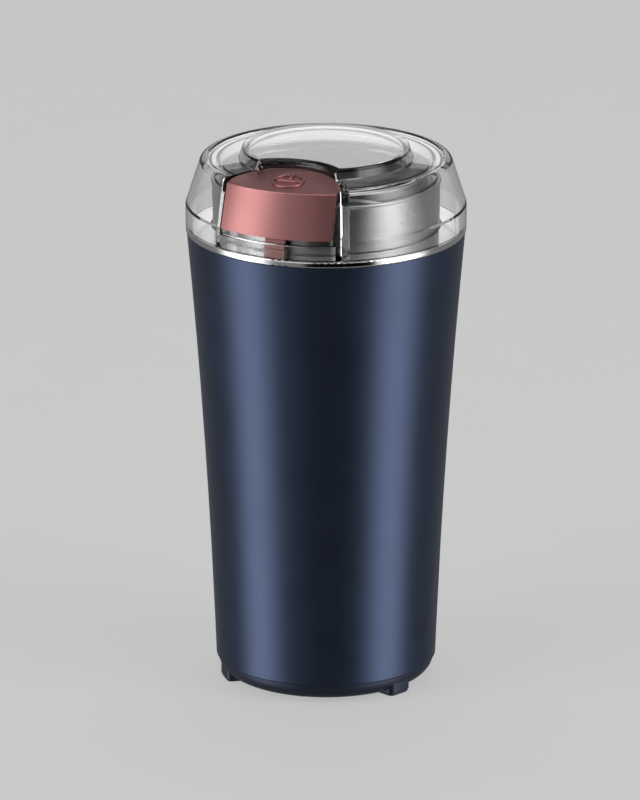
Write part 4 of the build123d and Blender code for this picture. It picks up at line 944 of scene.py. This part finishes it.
@dataclass(frozen=True)
class Card(Panel):
    """A soft-edged reflector that only shows as a reflection in shiny finishes.

    It may reach below the floor, so that what mirrors the floor mirrors the card. feather is
    the share of its half width over which it fades out.
    """

    feather: float = 1.0

    def build(self, aim: Vector) -> None:
        """Stand the card and turn it to the point.

        Args:
            aim: the point it faces.
        """
        card = sheet(self.name, self.width, self.height)
        stand(card, aim, heading(self.azimuth, self.elevation), self.distance)
        card.visible_camera = False
        card.visible_diffuse = False
        card.visible_shadow = False
        card.data.materials.append(self._finish())

    def _finish(self) -> bpy.types.Material:
        """Glow that fades from the middle to the two upright edges.

        Returns:
            The card's material.
        """
        material, bench = new_finish(self.name)
        material.cycles.emission_sampling = "NONE"
        across = bench.math("ABSOLUTE", bench.split(bench.place())[0])
        edge = self.width / 2
        ends = {"Value": across, "From Min": edge, "From Max": edge * (1 - self.feather)}
        fade = bench.add("ShaderNodeMapRange", ends, interpolation_type="SMOOTHSTEP")
        share = bench.math("MULTIPLY", fade.outputs[0], Bounce.MIRROR.met(bench))
        glow = bench.add("ShaderNodeEmission", {"Color": WHITE, "Strength": self.strength})
        bare = bench.add("ShaderNodeBsdfTransparent")
        shown = {0: share, 1: bare.outputs[0], 2: glow.outputs[0]}
        bench.show(bench.add("ShaderNodeMixShader", shown))
        return material


@dataclass
class Studio:
    """Pale floor, soft lamps and the camera.

    pale is how bright the floor and the backdrop look to the camera, and floor_glow the share
    of it that the floor gives by itself. dim is the backdrop's light on the object, and the
    three seen_ values are how bright the backdrop shows in metal, in clear pieces and in metal
    that is seen through them.
    """

    camera_azimuth: float = 23.0
    camera_elevation: float = 17.69
    camera_distance: float = 3.0
    camera_clip: tuple[float, float] = (0.1, 50.0)
    lens: float = 392.13
    aim_height: float = 96.2 * MM
    aim_right: float = -2.07 * MM
    aim_up: float = 1.89 * MM
    floor_side: float = 12.0
    floor_tones: tuple[Colour, Colour] = ((0.3, 0.3, 0.3), (0.32, 0.32, 0.32))
    floor_speckle: float = 300.0
    floor_roughness: float = 0.9
    floor_shine: float = 0.1
    floor_glow: float = 0.72
    pale: float = 0.604
    dim: float = 0.25
    seen_in_metal: float = 0.18
    seen_in_glass: float = 0.5
    seen_inside_glass: float = 0.4
    lamps: tuple[Softbox, ...] = (
        Softbox("softbox_right", 84.0, 38.0, 1.5, 0.7, 0.7, 2.2),
        Softbox("softbox_left", -38.0, 38.0, 1.5, 0.7, 0.7, 2.2),
        Softbox("softbox_above", 203.0, 66.0, 1.6, 0.9, 0.6, 1.4),
    )
    cards: tuple[Card, ...] = (
        Card("card_right", 88.0, 0.0, 1.3, 1.5, 2.6, 2.7),
        Card("card_left", -48.0, 0.0, 1.3, 1.5, 2.6, 2.7),
        Card("card_behind", 203.0, 16.0, 1.6, 1.5, 0.3, 1.25, 0.4),
        Card("card_front", -4.0, 19.0, 1.5, 1.3, 0.4, 0.6, 0.6),
        Card("card_above", 23.0, 72.0, 1.4, 1.8, 0.7, 1.3, 0.4),
        Card("flag", 34.0, -9.0, 1.2, 1.4, 0.8, 0.0, 0.2),
    )

    def build(self) -> None:
        """Set up the floor, the world, the lamps, the cards and the camera."""
        self._floor()
        self._world()
        aim = Vector((0, 0, self.aim_height))
        for piece in self.lamps + self.cards:
            piece.build(aim)
        self._camera(aim)
        bpy.context.scene.view_settings.view_transform = "Standard"
        LOG.info("studio ready")

    def _floor(self) -> None:
        """Lay the pale floor, which keeps the object's shadow and doesn't show in metal."""
        floor = sheet("studio_floor", self.floor_side, self.floor_side)
        material, bench = new_finish("studio_floor")
        path = bench.add("ShaderNodeLightPath").outputs
        seen = bench.math("MAXIMUM", path["Is Camera Ray"], path["Is Transmission Ray"])
        speckle = bench.add("ShaderNodeTexNoise", {"Scale": self.floor_speckle})
        matt = bench.add(
            "ShaderNodeBsdfPrincipled",
            {
                "Base Color": bench.mix_colours(speckle.outputs["Fac"], *self.floor_tones),
                "Roughness": self.floor_roughness,
                "Specular IOR Level": self.floor_shine,
            },
        )
        strength = bench.math("MULTIPLY", seen, self.pale * self.floor_glow)
        glow = bench.add("ShaderNodeEmission", {"Color": WHITE, "Strength": strength})
        both = bench.add("ShaderNodeAddShader", {0: matt.outputs[0], 1: glow.outputs[0]})
        bare = bench.add("ShaderNodeBsdfTransparent")
        shown = {0: Bounce.MIRROR.met(bench), 1: both.outputs[0], 2: bare.outputs[0]}
        bench.show(bench.add("ShaderNodeMixShader", shown))
        floor.data.materials.append(material)

    def _world(self) -> None:
        """Pale backdrop for what the camera and clear pieces see, dim for the rest."""
        world = bpy.data.worlds.new("studio_world")
        bpy.context.scene.world = world
        world.use_nodes = True
        bench = Bench(world.node_tree)
        path = bench.add("ShaderNodeLightPath").outputs
        strength = bench.spread(path["Is Camera Ray"], self.dim, self.pale)
        strength = bench.spread(path["Is Transmission Ray"], strength, self.seen_in_glass)
        metal = bench.spread(Bounce.GLASS.met(bench), self.seen_in_metal, self.seen_inside_glass)
        strength = bench.spread(Bounce.MIRROR.met(bench), strength, metal)
        back = bench.add("ShaderNodeBackground", {"Color": WHITE, "Strength": strength})
        bench.add("ShaderNodeOutputWorld", {"Surface": back.outputs[0]})

    def _camera(self, middle: Vector) -> None:
        """Place the camera at the viewing angle.

        Args:
            middle: the object's middle, from which aim_right and aim_up move the aim.
        """
        back = heading(self.camera_azimuth, self.camera_elevation)
        turn = math.radians(self.camera_azimuth)
        right = Vector((math.cos(turn), math.sin(turn), 0.0))
        aim = middle + right * self.aim_right + back.cross(right) * self.aim_up
        data = bpy.data.cameras.new("camera")
        data.lens = self.lens
        data.clip_start, data.clip_end = self.camera_clip
        camera = bpy.data.objects.new("camera", data)
        bpy.context.scene.collection.objects.link(camera)
        stand(camera, aim, back, self.camera_distance)
        bpy.context.scene.camera = camera


def main() -> None:
    """Build the finishes, dress every sub-assembly and set up the studio."""
    logging.basicConfig(level=logging.INFO, format="%(name)s: %(message)s")
    effects = Effects()
    finishes = {finish.slot: finish.build(effects) for finish in FINISHES}
    for kind in (Housing, Cup, Motor, Blades, Switchgear):
        kind(finishes).dress()
    for kind in (ClearLid, PressButton):
        assembly = kind(finishes)
        assembly.dress()
        assembly.build()
    Studio().build()


if __name__ == "__main__":
    main()
